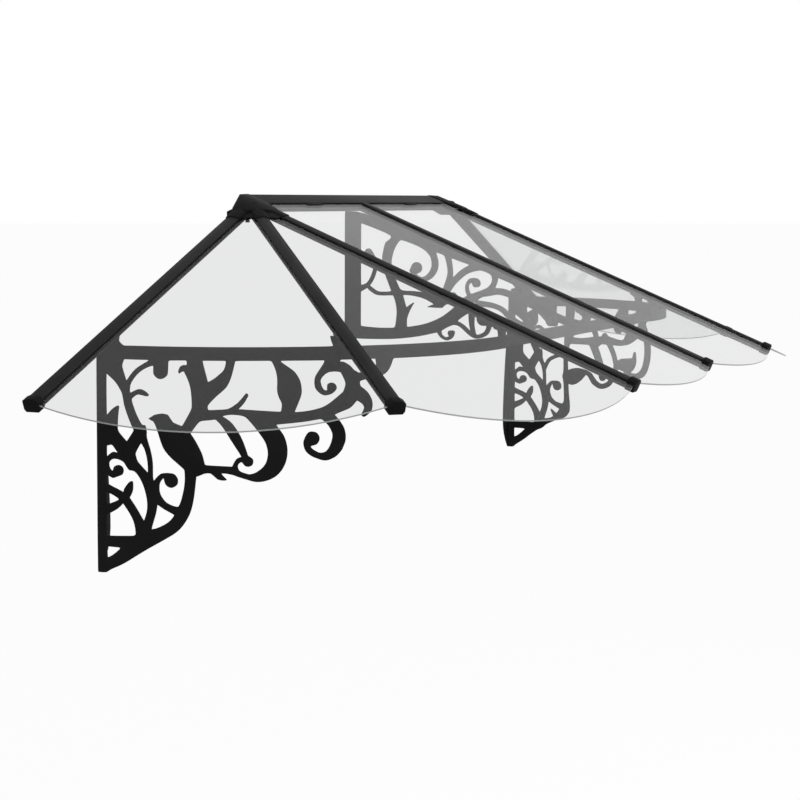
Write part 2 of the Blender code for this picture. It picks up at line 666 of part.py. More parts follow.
LEFT_STROKES = SHARED_STROKES + [
    # foot and outer edge of the lower trunk
    ([(4, -683), (45, -663), (90, -630), (128, -613), (156, -596), (174, -571), (184, -541),
      (188, -508), (188, -478)], [20, 25, 34, 26, 24, 24, 22, 20, 24]),
    ([(12, -631), (90, -630)], [18, 26]),
    # bird: beak and head, body, and the perch under it
    ([(109, -398), (122, -397), (137, -403)], [2, 14, 30]),
    ([(135, -402), (146, -420), (164, -440), (186, -466), (200, -486)], [28, 38, 58, 48, 32]),
    ([(205, -380), (192, -400), (178, -420)], [28, 22, 20]),
    ([(190, -490), (225, -489), (270, -490)], [18, 14, 12]),
    ([(228, -492), (242, -502), (255, -508)], [8, 12, 2]),
    # main trunk with its fork and hook
    ([(195, -284), (201, -316), (206, -345), (206, -382)], [26, 34, 32, 28]),
    ([(264, -284), (259, -308), (246, -328), (226, -344), (208, -362)], [16, 17, 26, 30, 30]),
    ([(190, -320), (182, -305), (173, -304), (167, -313)], [14, 13, 10, 2]),
    # long stem to the right and its twig
    ([(200, -388), (225, -389), (258, -383), (292, -385), (330, -393), (375, -394), (415, -390),
      (448, -381), (478, -362)], [20, 19, 10, 13, 24, 20, 19, 22, 28]),
    ([(260, -381), (280, -369), (292, -352)], [8, 9, 7]),
    # crescent with the small curl and ball inside it
    ([(296, -388), (324, -408), (343, -432), (349, -460), (340, -486), (318, -501), (296, -503),
      (276, -496), (258, -490)], [14, 30, 36, 36, 31, 21, 11, 10, 12]),
    ([(238, -393), (255, -405), (268, -424), (280, -445), (292, -470)], [9, 17, 20, 17, 9]),
    ([(294, -474), (295, -474)], [19, 19]),
    ([(290, -471), (279, -471), (271, -482), (276, -497)], [9, 9, 9, 9]),
    # leaf that hangs from the rail to the stem
    ([(341, -286), (356, -305), (368, -325), (371, -345), (372, -365), (366, -388)],
     [8, 22, 39, 45, 30, 22]),
    # large curl with the small ball
    ([(452, -284), (450, -300), (472, -303), (488, -322), (492, -345), (482, -364), (462, -376)],
     [30, 20, 20, 26, 28, 28, 22]),
    ([(452, -290), (436, -307), (424, -322), (425, -338), (435, -349), (448, -348)],
     [24, 14, 11, 12, 9, 8]),
    ([(450, -339), (451, -340)], [17, 17]),
    # hook and leaf near bar b
    ([(488, -348), (505, -353), (520, -366), (523, -381), (514, -392)], [28, 26, 20, 15, 8]),
    ([(490, -328), (511, -321), (535, -317), (553, -304), (557, -286)], [16, 13, 15, 27, 38]),
    # hanging end curl
    ([(440, -392), (455, -405), (465, -427), (460, -449), (444, -465), (424, -465), (406, -453),
      (402, -438)], [20, 22, 25, 24, 17, 12, 12, 10]),
    ([(413, -433), (414, -433)], [26, 26]),
]

RIGHT_STROKES = SHARED_STROKES + [
    # foot, thin lower arm and the leaf at its end
    ([(4, -683), (38, -664), (68, -640), (100, -620), (124, -611), (146, -604)],
     [22, 20, 22, 22, 14, 10]),
    ([(12, -627), (84, -628)], [18, 20]),
    ([(184, -552), (177, -578), (160, -594), (138, -604)], [16, 30, 22, 8]),
    ([(150, -598), (140, -588), (133, -578)], [12, 9, 2]),
    # straight stem, with the arch over the curl
    ([(194, -284), (190, -330), (184, -380), (179, -430), (180, -500), (184, -560)],
     [28, 26, 18, 13, 13, 16]),
    ([(112, -464), (122, -443), (141, -431), (163, -426), (180, -430)], [10, 10, 10, 10, 12]),
    # leaf and ball-ended curl
    ([(181, -484), (200, -484), (222, -476), (246, -468)], [24, 44, 36, 12]),
    ([(240, -466), (262, -474), (278, -492), (303, -503), (332, -496), (352, -476), (366, -444)],
     [10, 14, 16, 14, 14, 15, 15]),
    ([(310, -476), (311, -476)], [24, 24]),
    ([(311, -470), (300, -440), (286, -412), (272, -388)], [14, 22, 24, 24]),
    # stems through the middle
    ([(366, -444), (356, -415), (338, -388), (318, -366)], [15, 16, 16, 20]),
    ([(184, -382), (230, -384), (280, -380), (330, -376), (380, -380), (424, -372), (462, -352),
      (486, -330)], [20, 18, 22, 22, 16, 16, 20, 24]),
    # leaf with a curled tip, and the crescent below it
    ([(366, -442), (392, -438), (424, -438), (448, -426), (453, -404)], [16, 32, 38, 22, 9]),
    ([(408, -458), (440, -464), (478, -461), (510, -442), (528, -408), (527, -374), (510, -344),
      (488, -322)], [12, 13, 17, 26, 34, 35, 30, 26]),
    # fork, leaf and curl under the rail
    ([(264, -284), (260, -306), (246, -326), (222, -345), (196, -362)], [17, 17, 22, 24, 22]),
    ([(292, -388), (276, -350), (246, -328)], [14, 18, 22]),
    ([(398, -284), (408, -304), (424, -326), (426, -350), (410, -372)], [34, 20, 20, 22, 20]),
    ([(396, -290), (374, -302), (360, -322), (363, -346), (380, -352)], [24, 14, 11, 10, 8]),
    ([(384, -341), (385, -341)], [18, 18]),
    ([(424, -330), (448, -314), (468, -300), (500, -302), (545, -296), (580, -286)],
     [22, 18, 22, 26, 28, 20]),
    ([(488, -322), (505, -308), (520, -290)], [26, 28, 34]),
]

GUSSET_STROKES = [
    # lower band along the foot, rising to the bar
    ([(18, -303), (80, -306), (140, -302), (200, -293), (245, -277), (275, -257), (300, -237)],
     [34, 30, 26, 26, 28, 28, 34]),
    # curved stem and the thin stems beside the leg
    ([(112, -100), (106, -132), (112, -165), (125, -195), (139, -226), (144, -256), (142, -296)],
     [22, 22, 20, 20, 22, 24, 28]),
    ([(60, -118), (76, -138), (74, -165), (58, -192), (28, -204)], [20, 11, 9, 10, 18]),
    ([(64, -200), (84, -211), (115, -211), (160, -209), (200, -214), (238, -225), (270, -216)],
     [9, 9, 9, 10, 14, 22, 22]),
    ([(150, -262), (160, -246), (174, -231)], [18, 10, 2]),
    ([(242, -236), (225, -238), (209, -240)], [12, 8, 2]),
    # large curl
    ([(132, -66), (168, -82), (200, -99), (221, -120), (226, -147), (215, -168), (196, -177),
      (178, -170), (168, -157)], [40, 24, 18, 16, 16, 14, 10, 9, 9]),
    ([(180, -151), (181, -151)], [26, 26]),
    ([(132, -76), (116, -104), (106, -134)], [22, 20, 20]),
    ([(205, -100), (232, -98), (252, -114), (262, -142), (263, -170), (252, -204)],
     [10, 12, 13, 13, 13, 16]),
    # second curl
    ([(256, -204), (275, -178), (300, -157), (335, -146), (364, -154), (372, -176), (360, -197),
      (332, -211), (300, -228)], [12, 14, 16, 17, 16, 13, 13, 16, 24]),
    ([(318, -220), (307, -205), (305, -189), (314, -177), (328, -178), (332, -186)],
     [10, 9, 8, 9, 10, 10]),
    ([(326, -184), (327, -184)], [18, 18]),
    # small curl under the band
    ([(236, -290), (241, -304), (254, -312), (268, -307), (271, -297)], [12, 7, 7, 7, 9]),
    ([(265, -299), (266, -299)], [13, 13]),
    # arcs towards the front rail
    ([(272, -272), (295, -282), (311, -297), (330, -305), (352, -296), (360, -278)],
     [10, 9, 9, 9, 10, 12]),
    ([(318, -246), (316, -272), (322, -300)], [16, 12, 10]),
    ([(345, -264), (346, -264)], [32, 32]),
    ([(350, -207), (380, -201), (415, -209), (450, -225), (490, -243), (530, -261), (566, -272)],
     [14, 15, 16, 16, 16, 18, 24]),
    ([(332, -230), (362, -232), (390, -242), (412, -262), (440, -276), (466, -270), (470, -252)],
     [14, 12, 12, 13, 13, 12, 10]),
    ([(461, -251), (462, -251)], [20, 20]),
]


def smooth_line(points, widths, step):
    """Points and radii along a stroke, from a curve through its given points."""
    pts = np.array([(*p, w) for p, w in zip(points, widths)], float)
    if len(pts) == 2:
        return pts[:, :2] * MM, pts[:, 2] * MM / 2
    padded = np.vstack([2 * pts[0] - pts[1], pts, 2 * pts[-1] - pts[-2]])
    out = []
    for i in range(1, len(padded) - 2):
        before, here, there, after = padded[i - 1:i + 3]
        count = max(2, int(np.hypot(*(there - here)[:2]) / step))
        for t in np.arange(count) / count:
            tangent = (there - before) / 2
            next_tangent = (after - here) / 2
            value = ((2 * t ** 3 - 3 * t ** 2 + 1) * here + (t ** 3 - 2 * t ** 2 + t) * tangent
                     + (-2 * t ** 3 + 3 * t ** 2) * there + (t ** 3 - t ** 2) * next_tangent)
            out.append(value)
    out.append(padded[-2])
    out = np.array(out)
    radii = np.interp(np.arange(len(out)), np.arange(len(out)), out[:, 2])
    return out[:, :2] * MM, np.maximum(radii, 1.0) * MM / 2


def stroke_distance(field_x, field_y, points, radii):
    """Signed distance from a grid to a chain of tapered round-ended segments."""
    best = np.full(field_x.shape, 1.0)
    for (start, end), (r0, r1) in zip(zip(points, points[1:]), zip(radii, radii[1:])):
        span = end - start
        length = max(span @ span, 1e-12)
        t = ((field_x - start[0]) * span[0] + (field_y - start[1]) * span[1]) / length
        t = np.clip(t, 0.0, 1.0)
        away = np.hypot(field_x - start[0] - t * span[0], field_y - start[1] - t * span[1])
        np.minimum(best, away - (r0 + (r1 - r0) * t), out=best)
    return best


def blend(a, b):
    """Smooth union, which leaves a small fillet where two shapes meet."""
    h = np.maximum(FILLET - np.abs(a - b), 0.0) / FILLET
    return np.minimum(a, b) - h * h * FILLET / 4


def polygon_distance(field_x, field_y, corners):
    """Signed distance, near enough, to a convex polygon given anticlockwise."""
    best = np.full(field_x.shape, -1.0)
    for (x0, y0), (x1, y1) in zip(corners, corners[1:] + corners[:1]):
        length = math.hypot(x1 - x0, y1 - y0)
        away = ((y1 - y0) * (field_x - x0) - (x1 - x0) * (field_y - y0)) / length
        np.maximum(best, away, out=best)
    return best


def pattern_loops(strokes, polygons, limits, slant=None):
    """Outlines of a pattern: strokes and convex polygons joined, then cut by the limits.

    The slant is a point and a direction; everything beyond the line through the point is cut.
    """
    x0, x1, y0, y1 = limits
    xs = np.arange(x0 - 2.5 * CELL, x1 + 3.5 * CELL, CELL)
    ys = np.arange(y0 - 2.5 * CELL, y1 + 3.5 * CELL, CELL)
    field_x, field_y = np.meshgrid(xs, ys, indexing="ij")
    field = np.full(field_x.shape, 1.0)
    for points, widths in strokes:
        line, radii = smooth_line(points, widths, 6.0)
        reach = radii.max() + 3 * FILLET
        low = line.min(axis=0) - reach
        high = line.max(axis=0) + reach
        rows = slice(*np.searchsorted(xs, (low[0], high[0])))
        cols = slice(*np.searchsorted(ys, (low[1], high[1])))
        part = stroke_distance(field_x[rows, cols], field_y[rows, cols], line, radii)
        field[rows, cols] = blend(field[rows, cols], part)
    for corners in polygons:
        field = blend(field, polygon_distance(field_x, field_y, corners))
    frame = [(x0, y0), (x1, y0), (x1, y1), (x0, y1)]
    field = np.maximum(field, polygon_distance(field_x, field_y, frame))
    if slant is not None:
        (px, py), (nx, ny) = slant
        field = np.maximum(field, (field_x - px) * nx + (field_y - py) * ny)
    field[np.abs(field) < 1e-7] = 1e-7
    return [straighten(loop, TOLERANCE) for loop in follow_contours(field, xs, ys)]


def follow_contours(field, xs, ys):
    """Closed loops where the field changes sign, linked from cell to cell."""
    inside = field < 0
    links = {}

    def crossing(i, j, horizontal):
        k, m = (i + 1, j) if horizontal else (i, j + 1)
        t = field[i, j] / (field[i, j] - field[k, m])
        return (xs[i] + t * (xs[k] - xs[i]), ys[j] + t * (ys[m] - ys[j]))

    changed = np.zeros((len(xs) - 1, len(ys) - 1), bool)
    for dx, dy in ((1, 0), (0, 1), (1, 1)):
        other = inside[dx:len(xs) - 1 + dx, dy:len(ys) - 1 + dy]
        changed |= inside[:-1, :-1] != other
    for i, j in zip(*np.nonzero(changed)):
        edges = ((i, j, True), (i + 1, j, False), (i, j + 1, True), (i, j, False))
        corners = (inside[i, j], inside[i + 1, j], inside[i + 1, j + 1], inside[i, j + 1])
        starts = []
        ends = []
        for n in range(4):
            if corners[n] and not corners[(n + 1) % 4]:
                starts.append(edges[n])
            if not corners[n] and corners[(n + 1) % 4]:
                ends.append(edges[n])
        if len(starts) == 2 and corners[0]:
            ends.reverse()
        for start, end in zip(starts, ends):
            links[start] = end
    loops = []
    while links:
        first = next(iter(links))
        loop = [first]
        step = links.pop(first)
        while step != first:
            loop.append(step)
            step = links.pop(step)
        loops.append([crossing(*edge) for edge in loop])
    return loops


def straighten(loop, tolerance):
    """Keep only the points that the outline needs to stay within the tolerance."""
    pts = np.array(loop)
    far = int(np.argmax(np.hypot(*(pts - pts[0]).T)))
    keep = sorted(simplify_run(pts, 0, far, tolerance) | simplify_run(pts, far, len(pts), tolerance))
    return [tuple(pts[i % len(pts)]) for i in keep]


def simplify_run(pts, first, last, tolerance):
    kept = {first % len(pts)}
    stack = [(first, last)]
    while stack:
        a, b = stack.pop()
        if b - a < 2:
            continue
        start, end = pts[a], pts[b % len(pts)]
        span = end - start
        inner = pts[a + 1:b]
        length = max(np.hypot(*span), 1e-9)
        away = np.abs(span[0] * (inner[:, 1] - start[1]) - span[1] * (inner[:, 0] - start[0])) / length
        worst = int(np.argmax(away))
        if away[worst] > tolerance:
            middle = a + 1 + worst
            kept.add(middle)
            stack += [(a, middle), (middle, b)]
    return kept


def loop_area(loop):
    pts = np.array(loop)
    nxt = np.roll(pts, -1, axis=0)
    return 0.5 * float(np.sum(pts[:, 0] * nxt[:, 1] - nxt[:, 0] * pts[:, 1]))


def plate_mesh(loops):
    """The pattern's largest outline and the holes inside it, as a flat plate."""
    loops = [loop for loop in loops if abs(loop_area(loop)) > 12 * MM * MM]
    outer = max(loops, key=lambda loop: abs(loop_area(loop)))
    sign = loop_area(outer) > 0
    holes = [loop for loop in loops if loop is not outer and (loop_area(loop) > 0) != sign]
    return prism([outer] + holes, -PLATE / 2, PLATE / 2)


def bar_underside(radius):
    """Height of a bar's underside at a plan distance from its hub's axis."""
    return -SLOPE * radius + BASE_BOTTOM / math.cos(TILT)


def ear_polygons(place, side_room=EAR_HEAD):
    """The ear that rises from the rail to a bar: a foot, and a horn on each side of the bar."""
    notch = bar_underside(RAIL_RADIUS + PLATE / 2) - GAP
    inner = BOX_WIDTH / 2 + 2 * GAP
    top = notch + HORN
    rail = RAIL_TOP - 5 * MM
    foot = [(place - EAR_FOOT, rail), (place + EAR_FOOT, rail), (place + EAR_HEAD - 2 * MM, notch),
            (place - EAR_HEAD + 2 * MM, notch)]
    horns = []
    for side in (-1, 1):
        horn = [(place + side * inner, notch - 4 * MM), (place + side * (EAR_HEAD - 3 * MM), notch - 4 * MM),
                (place + side * EAR_HEAD, top), (place + side * inner, top)]
        horns.append(horn if side > 0 else horn[::-1])
    return [foot] + horns


def arc_start():
    """Angle, seen from the hub's axis, at which the bowed plate meets the wall."""
    return math.asin(AXIS_OFFSET / RAIL_RADIUS)


def arc_place(angle):
    """Distance along the bowed plate to a bar that leaves the wall line by this angle."""
    return RAIL_RADIUS * (angle + arc_start())


def bow(bm, side):
    """Wrap a flat plate round its hub's axis; past the quarter turn it runs on straight."""
    quarter = arc_place(math.pi / 2)
    cuts = []
    angle = -arc_start() + BEND_STEP
    while angle < math.pi / 2:
        cuts.append(arc_place(angle))
        angle += BEND_STEP
    for place in cuts + [quarter]:
        geometry = bm.verts[:] + bm.edges[:] + bm.faces[:]
        bmesh.ops.bisect_plane(bm, geom=geometry, dist=1e-6, plane_co=(place, 0, 0), plane_no=(1, 0, 0))
    for vert in bm.verts:
        run, height, depth = vert.co
        turn = min(run, quarter) / RAIL_RADIUS - arc_start()
        radius = RAIL_RADIUS + depth
        x = RIDGE_HALF + radius * math.cos(turn)
        y = min(-AXIS_OFFSET - radius * math.sin(turn), 0.0)
        x -= max(run - quarter, 0.0)
        vert.co = (side * x, y, height)
    bmesh.ops.recalc_face_normals(bm, faces=bm.faces)


def tab(matrix):
    """The folded tab under a bar, which its screw passes through."""
    top = BASE_BOTTOM - 1.5 * GAP
    return box((tab_end() - TAB_LENGTH, -BOX_WIDTH / 2 + MM, top - PLATE * 0.75),
               (tab_end(), BOX_WIDTH / 2 - MM, top), matrix)


def bar_room(matrix):
    """The space that a bar's box takes in its ear."""
    half = BOX_WIDTH / 2 + 2 * GAP
    return box((tab_end() - TAB_LENGTH - 8 * MM, -half, BASE_BOTTOM - GAP),
               (tab_end() + 12 * MM, half, 2 * MM), matrix)


def tab_hole(matrix):
    place = matrix @ Matrix.Translation((screw_place(), 0, 0))
    return prism([circle(SCREW_RADIUS + GAP, 12)], BASE_BOTTOM - 3 * PLATE, BASE_BOTTOM + MM, place)


def wall_flange(side, width, top, bottom, wide, edge_x):
    """Flange that lies on the wall, with a curved free edge that is widest low down."""
    outline = [(0.0, bottom)]
    steps = 10
    for i in range(steps + 1):
        height = bottom + (top - bottom) * i / steps
        share = (height - bottom) / (top - bottom)
        swell = (share / wide) ** 0.5 if share < wide else math.cos((share - wide) / (1 - wide) * math.pi / 2)
        outline.append((width * max(swell, 0.08), height))
    outline.append((0.0, top))
    points = [(edge_x - side * x, z) for x, z in outline]
    to_wall = Matrix(((1, 0, 0, 0), (0, 0, -1, 0), (0, 1, 0, 0), (0, 0, 0, 1)))
    return prism([points], 0.0, PLATE, to_wall)


def wall_hole(x, z):
    to_wall = Matrix(((1, 0, 0, 0), (0, 0, -1, 0), (0, 1, 0, 0), (0, 0, 0, 1)))
    return prism([circle(WALL_HOLE, 14, (x, z))], -MM, PLATE + MM, to_wall)


def leg_x():
    """Distance from the middle to a side plate's leg on the wall."""
    return RIDGE_HALF + RAIL_RADIUS * math.cos(arc_start())


def make_side_plate(name, side, strokes, bars):
    rail_end = arc_place(math.pi / 2) + LAP
    rail_low = RAIL_TOP - RAIL_DEPTH
    leg = [(0.0, FOOT_LEVEL), (LEG_WIDTH, FOOT_LEVEL), (LEG_WIDTH, RAIL_TOP), (0.0, RAIL_TOP)]
    rail = [(0.0, rail_low), (rail_end, rail_low), (rail_end, RAIL_TOP), (0.0, RAIL_TOP)]
    polygons = [leg, rail]
    for turn in (0.0, SECTOR, 2 * SECTOR):
        polygons += ear_polygons(arc_place(turn))
    loops = pattern_loops(strokes, polygons, (0.0, rail_end, FOOT_LEVEL, RAIL_TOP + 0.05))
    plate = plate_mesh(loops)
    bow(plate, side)
    solids = [plate]
    cutters = []
    for bar in bars:
        matrix = bar_matrix(*BARS[bar][:2])
        solids.append(tab(matrix))
        cutters += [tab_hole(matrix), bar_room(matrix)]
    edge = side * (leg_x() + PLATE / 4)
    solids.append(wall_flange(side, FLANGE_WIDTH, -0.300, FOOT_LEVEL, 0.14, edge))
    middle = side * (leg_x() - FLANGE_WIDTH * 0.5)
    cutters.append(wall_hole(middle, FOOT_LEVEL + 0.050))
    cutters.append(wall_hole(side * (leg_x() - FLANGE_WIDTH * 0.42), FOOT_LEVEL + 0.170))
    for reach in lap_holes():
        cutters.append(rail_hole(side * (RIDGE_HALF - reach)))
    tidy(combine(name, "black_coat", solids, cutters))


def lap_holes():
    return (LAP * 0.52, LAP * 0.84)


def rail_y():
    return -AXIS_OFFSET - RAIL_RADIUS


def rail_hole(x):
    to_rail = Matrix(((1, 0, 0, x), (0, 0, -1, rail_y()), (0, 1, 0, RAIL_TOP - RAIL_DEPTH / 2), (0, 0, 0, 1)))
    return prism([circle(SCREW_RADIUS + GAP, 12)], -3 * PLATE, 3 * PLATE, to_rail)


def make_front_rail():
    """Straight rail behind the side plates' tails, with the ear of the middle bar."""
    half = RIDGE_HALF - 4 * MM
    low = RAIL_TOP - RAIL_DEPTH
    rail = [(-half, low), (half, low), (half, RAIL_TOP), (-half, RAIL_TOP)]
    polygons = [rail] + ear_polygons(0.0)
    loops = pattern_loops([], polygons, (-half, half, low, RAIL_TOP + 0.05))
    plate = plate_mesh(loops)
    inner = rail_y() + PLATE + GAP
    plate.transform(Matrix(((1, 0, 0, 0), (0, 0, 1, inner), (0, 1, 0, 0), (0, 0, 0, 1))))
    bmesh.ops.recalc_face_normals(plate, faces=plate.faces)
    matrix = bar_matrix(*BARS["d"][:2])
    cutters = [tab_hole(matrix), bar_room(matrix)]
    for side in (-1, 1):
        cutters += [rail_hole(side * (RIDGE_HALF - reach)) for reach in lap_holes()]
    shift = matrix @ Matrix.Translation((-PLATE / math.cos(TILT), 0, 0))
    tidy(combine("front_rail", "black_coat", [plate, tab(shift)], cutters))


def make_gusset():
    """Middle plate, square to the wall under the middle bar."""
    low = -0.318
    top_of_leg = -RIDGE_BELOW - GAP
    reach = AXIS_OFFSET + RAIL_RADIUS - PLATE * 1.5 - 2 * GAP
    leg = [(0.0, low), (GUSSET_LEG, low), (GUSSET_LEG, top_of_leg), (0.0, top_of_leg)]

    def under(distance):
        return -SLOPE * (distance - AXIS_OFFSET) + (BASE_BOTTOM - 2 * GAP) / math.cos(TILT)

    top_band = [(GUSSET_LEG - 5 * MM, under(GUSSET_LEG) - 26 * MM), (300 * MM, under(300 * MM) - 10 * MM),
                (300 * MM, under(300 * MM)), (GUSSET_LEG - 5 * MM, under(GUSSET_LEG - 5 * MM))]
    outer_band = [(300 * MM, under(300 * MM) - 9 * MM), (430 * MM, under(430 * MM) - 7 * MM),
                  (430 * MM, under(430 * MM)), (300 * MM, under(300 * MM))]
    slant = ((AXIS_OFFSET, under(AXIS_OFFSET)), (math.sin(TILT), math.cos(TILT)))
    loops = pattern_loops(GUSSET_STROKES, [leg, top_band, outer_band], (0.0, reach, low, top_of_leg), slant)
    plate = plate_mesh(loops)
    plate.transform(Matrix(((0, 0, 1, 0), (-1, 0, 0, 0), (0, 1, 0, 0), (0, 0, 0, 1))))
    bmesh.ops.recalc_face_normals(plate, faces=plate.faces)
    flange_top = -0.060
    flange = box((-PLATE / 2, -PLATE, low), (GUSSET_FLANGE, 0.0, flange_top))
    cutters = [wall_hole(GUSSET_FLANGE * 0.6, low + 0.040), wall_hole(GUSSET_FLANGE * 0.6, -0.100)]
    matrix = bar_matrix(*BARS["d"][:2])
    solids = [plate, flange]
    top = BASE_BOTTOM - 2 * GAP
    for place in GUSSET_TABS:
        solids.append(box((place - 0.012, -BOX_WIDTH / 2, top - 3 * MM), (place + 0.012, BOX_WIDTH / 2, top),
                          matrix))
    tidy(combine("middle_gusset", "black_coat", solids, cutters))


GUSSET_TABS = (0.150, 0.380)


# Screws

def screw(matrix, length, sides=12):
    """Pan-head screw along z: head below zero, shank above it."""
    head = prism([circle(HEAD_RADIUS, sides)], -HEAD_HEIGHT, 0.0, matrix)
    shank = prism([circle(SCREW_RADIUS, sides)], -MM, length, matrix)
    return head, shank


def make_screws():
    down = BASE_BOTTOM - GAP - PLATE * 0.75 - GAP
    for name, (hub_x, angle, falls) in BARS.items():
        matrix = bar_matrix(hub_x, angle) @ Matrix.Translation((screw_place(), 0, down))
        head, shank = screw(matrix, SCREW_LENGTH - 2 * MM)
        tidy(combine("bar_screw_" + name, "plated_steel", [head, shank]))
    number = 0
    for side in (-1, 1):
        for reach in sorted(lap_holes(), reverse=side > 0):
            number += 1
            x = side * (RIDGE_HALF - reach)
            y = rail_y() + PLATE * 1.5 + 2 * GAP
            turn = Matrix(((1, 0, 0, x), (0, 0, -1, y), (0, 1, 0, RAIL_TOP - RAIL_DEPTH / 2), (0, 0, 0, 1)))
            head, shank = screw(turn, PLATE * 2 + 3 * MM)
            tidy(combine("rail_screw_%d" % number, "plated_steel", [head, shank]))


def main():
    clear_scene()
    make_ridge()
    make_hub("left", -1)
    make_hub("right", 1)
    make_bars()
    make_panels()
    make_side_plate("scroll_plate_left", -1, LEFT_STROKES, ("a", "b", "c"))
    make_side_plate("scroll_plate_right", 1, RIGHT_STROKES, ("g", "f", "e"))
    make_front_rail()
    make_gusset()
    make_screws()
    total = 0
    for obj in bpy.context.scene.objects:
        obj.data.calc_loop_triangles()
        total += len(obj.data.loop_triangles)
        print(obj.name, len(obj.data.loop_triangles))
    print("triangles", total)


main()
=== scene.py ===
import math

import bmesh
import bpy
from bpy.props import FloatProperty, FloatVectorProperty, IntProperty, PointerProperty
from bpy.types import Operator, Panel, PropertyGroup
from mathutils import Matrix, Vector


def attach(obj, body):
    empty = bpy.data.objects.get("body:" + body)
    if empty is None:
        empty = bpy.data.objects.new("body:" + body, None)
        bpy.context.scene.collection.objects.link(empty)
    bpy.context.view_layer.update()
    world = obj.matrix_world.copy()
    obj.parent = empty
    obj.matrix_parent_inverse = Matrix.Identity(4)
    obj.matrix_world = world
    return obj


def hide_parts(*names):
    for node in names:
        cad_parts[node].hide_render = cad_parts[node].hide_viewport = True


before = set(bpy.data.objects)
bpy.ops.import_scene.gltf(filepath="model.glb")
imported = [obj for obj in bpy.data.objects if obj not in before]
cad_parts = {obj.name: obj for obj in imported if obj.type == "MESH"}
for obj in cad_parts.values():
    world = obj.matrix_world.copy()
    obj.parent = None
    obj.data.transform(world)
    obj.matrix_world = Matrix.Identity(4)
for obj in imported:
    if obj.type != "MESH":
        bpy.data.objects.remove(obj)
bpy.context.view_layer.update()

bl_info = {
    "name": "Door canopy",
    "version": (1, 0, 0),
    "blender": (4, 5, 0),
    "location": "3D View > Sidebar > Canopy",
    "description": "Dresses a hipped door canopy: coated bars, clear sheets and scroll-cut plates",
    "category": "Object",
}

BARS = "abcdefg"
PANELS = ("ab", "bc", "cd", "de", "ef", "fg")
SIDES = ("left", "right")
MM = 0.001


# Sizes and colours that a user would change

class CANOPY_PG_finishes(PropertyGroup):
    """Colours and surfaces of the canopy's pieces."""

    bar_black: FloatVectorProperty(
        name="Bar coat", description="Colour of the coat on the glazing bars and the ridge",
        subtype="COLOR", size=3, min=0.0, max=1.0, default=(0.0130, 0.0130, 0.0133))
    plate_black: FloatVectorProperty(
        name="Plate coat", description="Colour of the coat on the scroll plates and the rail",
        subtype="COLOR", size=3, min=0.0, max=1.0, default=(0.0050, 0.0050, 0.0053))
    moulding_black: FloatVectorProperty(
        name="Moulding", description="Colour of the end caps, hubs and clips",
        subtype="COLOR", size=3, min=0.0, max=1.0, default=(0.0050, 0.0050, 0.0052))
    sheet_tint: FloatVectorProperty(
        name="Sheet tint", description="What one face of the clear sheet lets through",
        subtype="COLOR", size=3, min=0.0, max=1.0, default=(0.905, 0.907, 0.907))
    edge_grey: FloatVectorProperty(
        name="Sheet edge", description="Colour of the clear sheet's cut edges",
        subtype="COLOR", size=3, min=0.0, max=1.0, default=(0.24, 0.25, 0.25))
    rubber_black: FloatVectorProperty(
        name="Rubber", description="Colour of the gaskets", subtype="COLOR", size=3,
        min=0.0, max=1.0, default=(0.012, 0.012, 0.012))
    screw_black: FloatVectorProperty(
        name="Screws", description="Colour of the blackened screws", subtype="COLOR", size=3,
        min=0.0, max=1.0, default=(0.030, 0.030, 0.032))
    sheet_gloss: FloatProperty(
        name="Sheet gloss", description="How strongly the clear sheet mirrors at a flat angle",
        min=0.0, max=1.0, default=0.35)
    grain: FloatProperty(
        name="Coat grain", description="Size of the coat's fine grain", unit="LENGTH",
        min=0.0002, max=0.01, default=0.0016)


class CANOPY_PG_sizes(PropertyGroup):
    """Sizes of the details."""

    edge_round: FloatProperty(
        name="Edge round", description="Rounding of the coated pieces' edges", unit="LENGTH",
        min=0.0001, max=0.002, default=0.0005)
    plate_round: FloatProperty(
        name="Plate edge round", description="Rounding of the scroll plates' cut edges",
        unit="LENGTH", min=0.0001, max=0.001, default=0.0004)
    plate_levels: IntProperty(
        name="Curve steps", description="How often the scroll plates' outlines are halved",
        min=1, max=2, default=1)
    tip_turn: FloatProperty(
        name="Tip turn", description="A corner of the pattern sharper than this stays a tip",
        subtype="ANGLE", min=0.5, max=2.0, default=math.radians(62))
    cover_width: FloatProperty(
        name="Cover width", description="Width of a glazing bar's clip-on cover", unit="LENGTH",
        min=0.024, max=0.034, default=0.0275)
    cover_top: FloatProperty(
        name="Cover top", description="Height of a cover's shoulders over the bar's seat",
        unit="LENGTH", min=0.005, max=0.009, default=0.0062)
    cover_crown: FloatProperty(
        name="Cover crown", description="How far a cover's middle stands over its shoulders",
        unit="LENGTH", min=0.0, max=0.002, default=0.0007)
    side_shift: FloatProperty(
        name="Wall bars' shift", description="How far the bars beside the wall stand out from it",
        unit="LENGTH", min=0.0, max=0.012, default=0.009)
    cap_width: FloatProperty(
        name="Cap width", description="Width of an end cap", unit="LENGTH", min=0.032, max=0.04,
        default=0.0335)
    cap_length: FloatProperty(
        name="Cap length", description="Length of an end cap", unit="LENGTH", min=0.015,
        max=0.035, default=0.0215)
    cap_nose: FloatProperty(
        name="Cap nose", description="How far an end cap reaches past its bar's end",
        unit="LENGTH", min=0.004, max=0.012, default=0.0080)
    arm_length: FloatProperty(
        name="Arm length", description="How far a hub cover's arms reach down the bars",
        unit="LENGTH", min=0.06, max=0.11, default=0.097)
    arm_width: FloatProperty(
        name="Arm width", description="Width of a hub cover's arm", unit="LENGTH", min=0.03,
        max=0.04, default=0.0325)


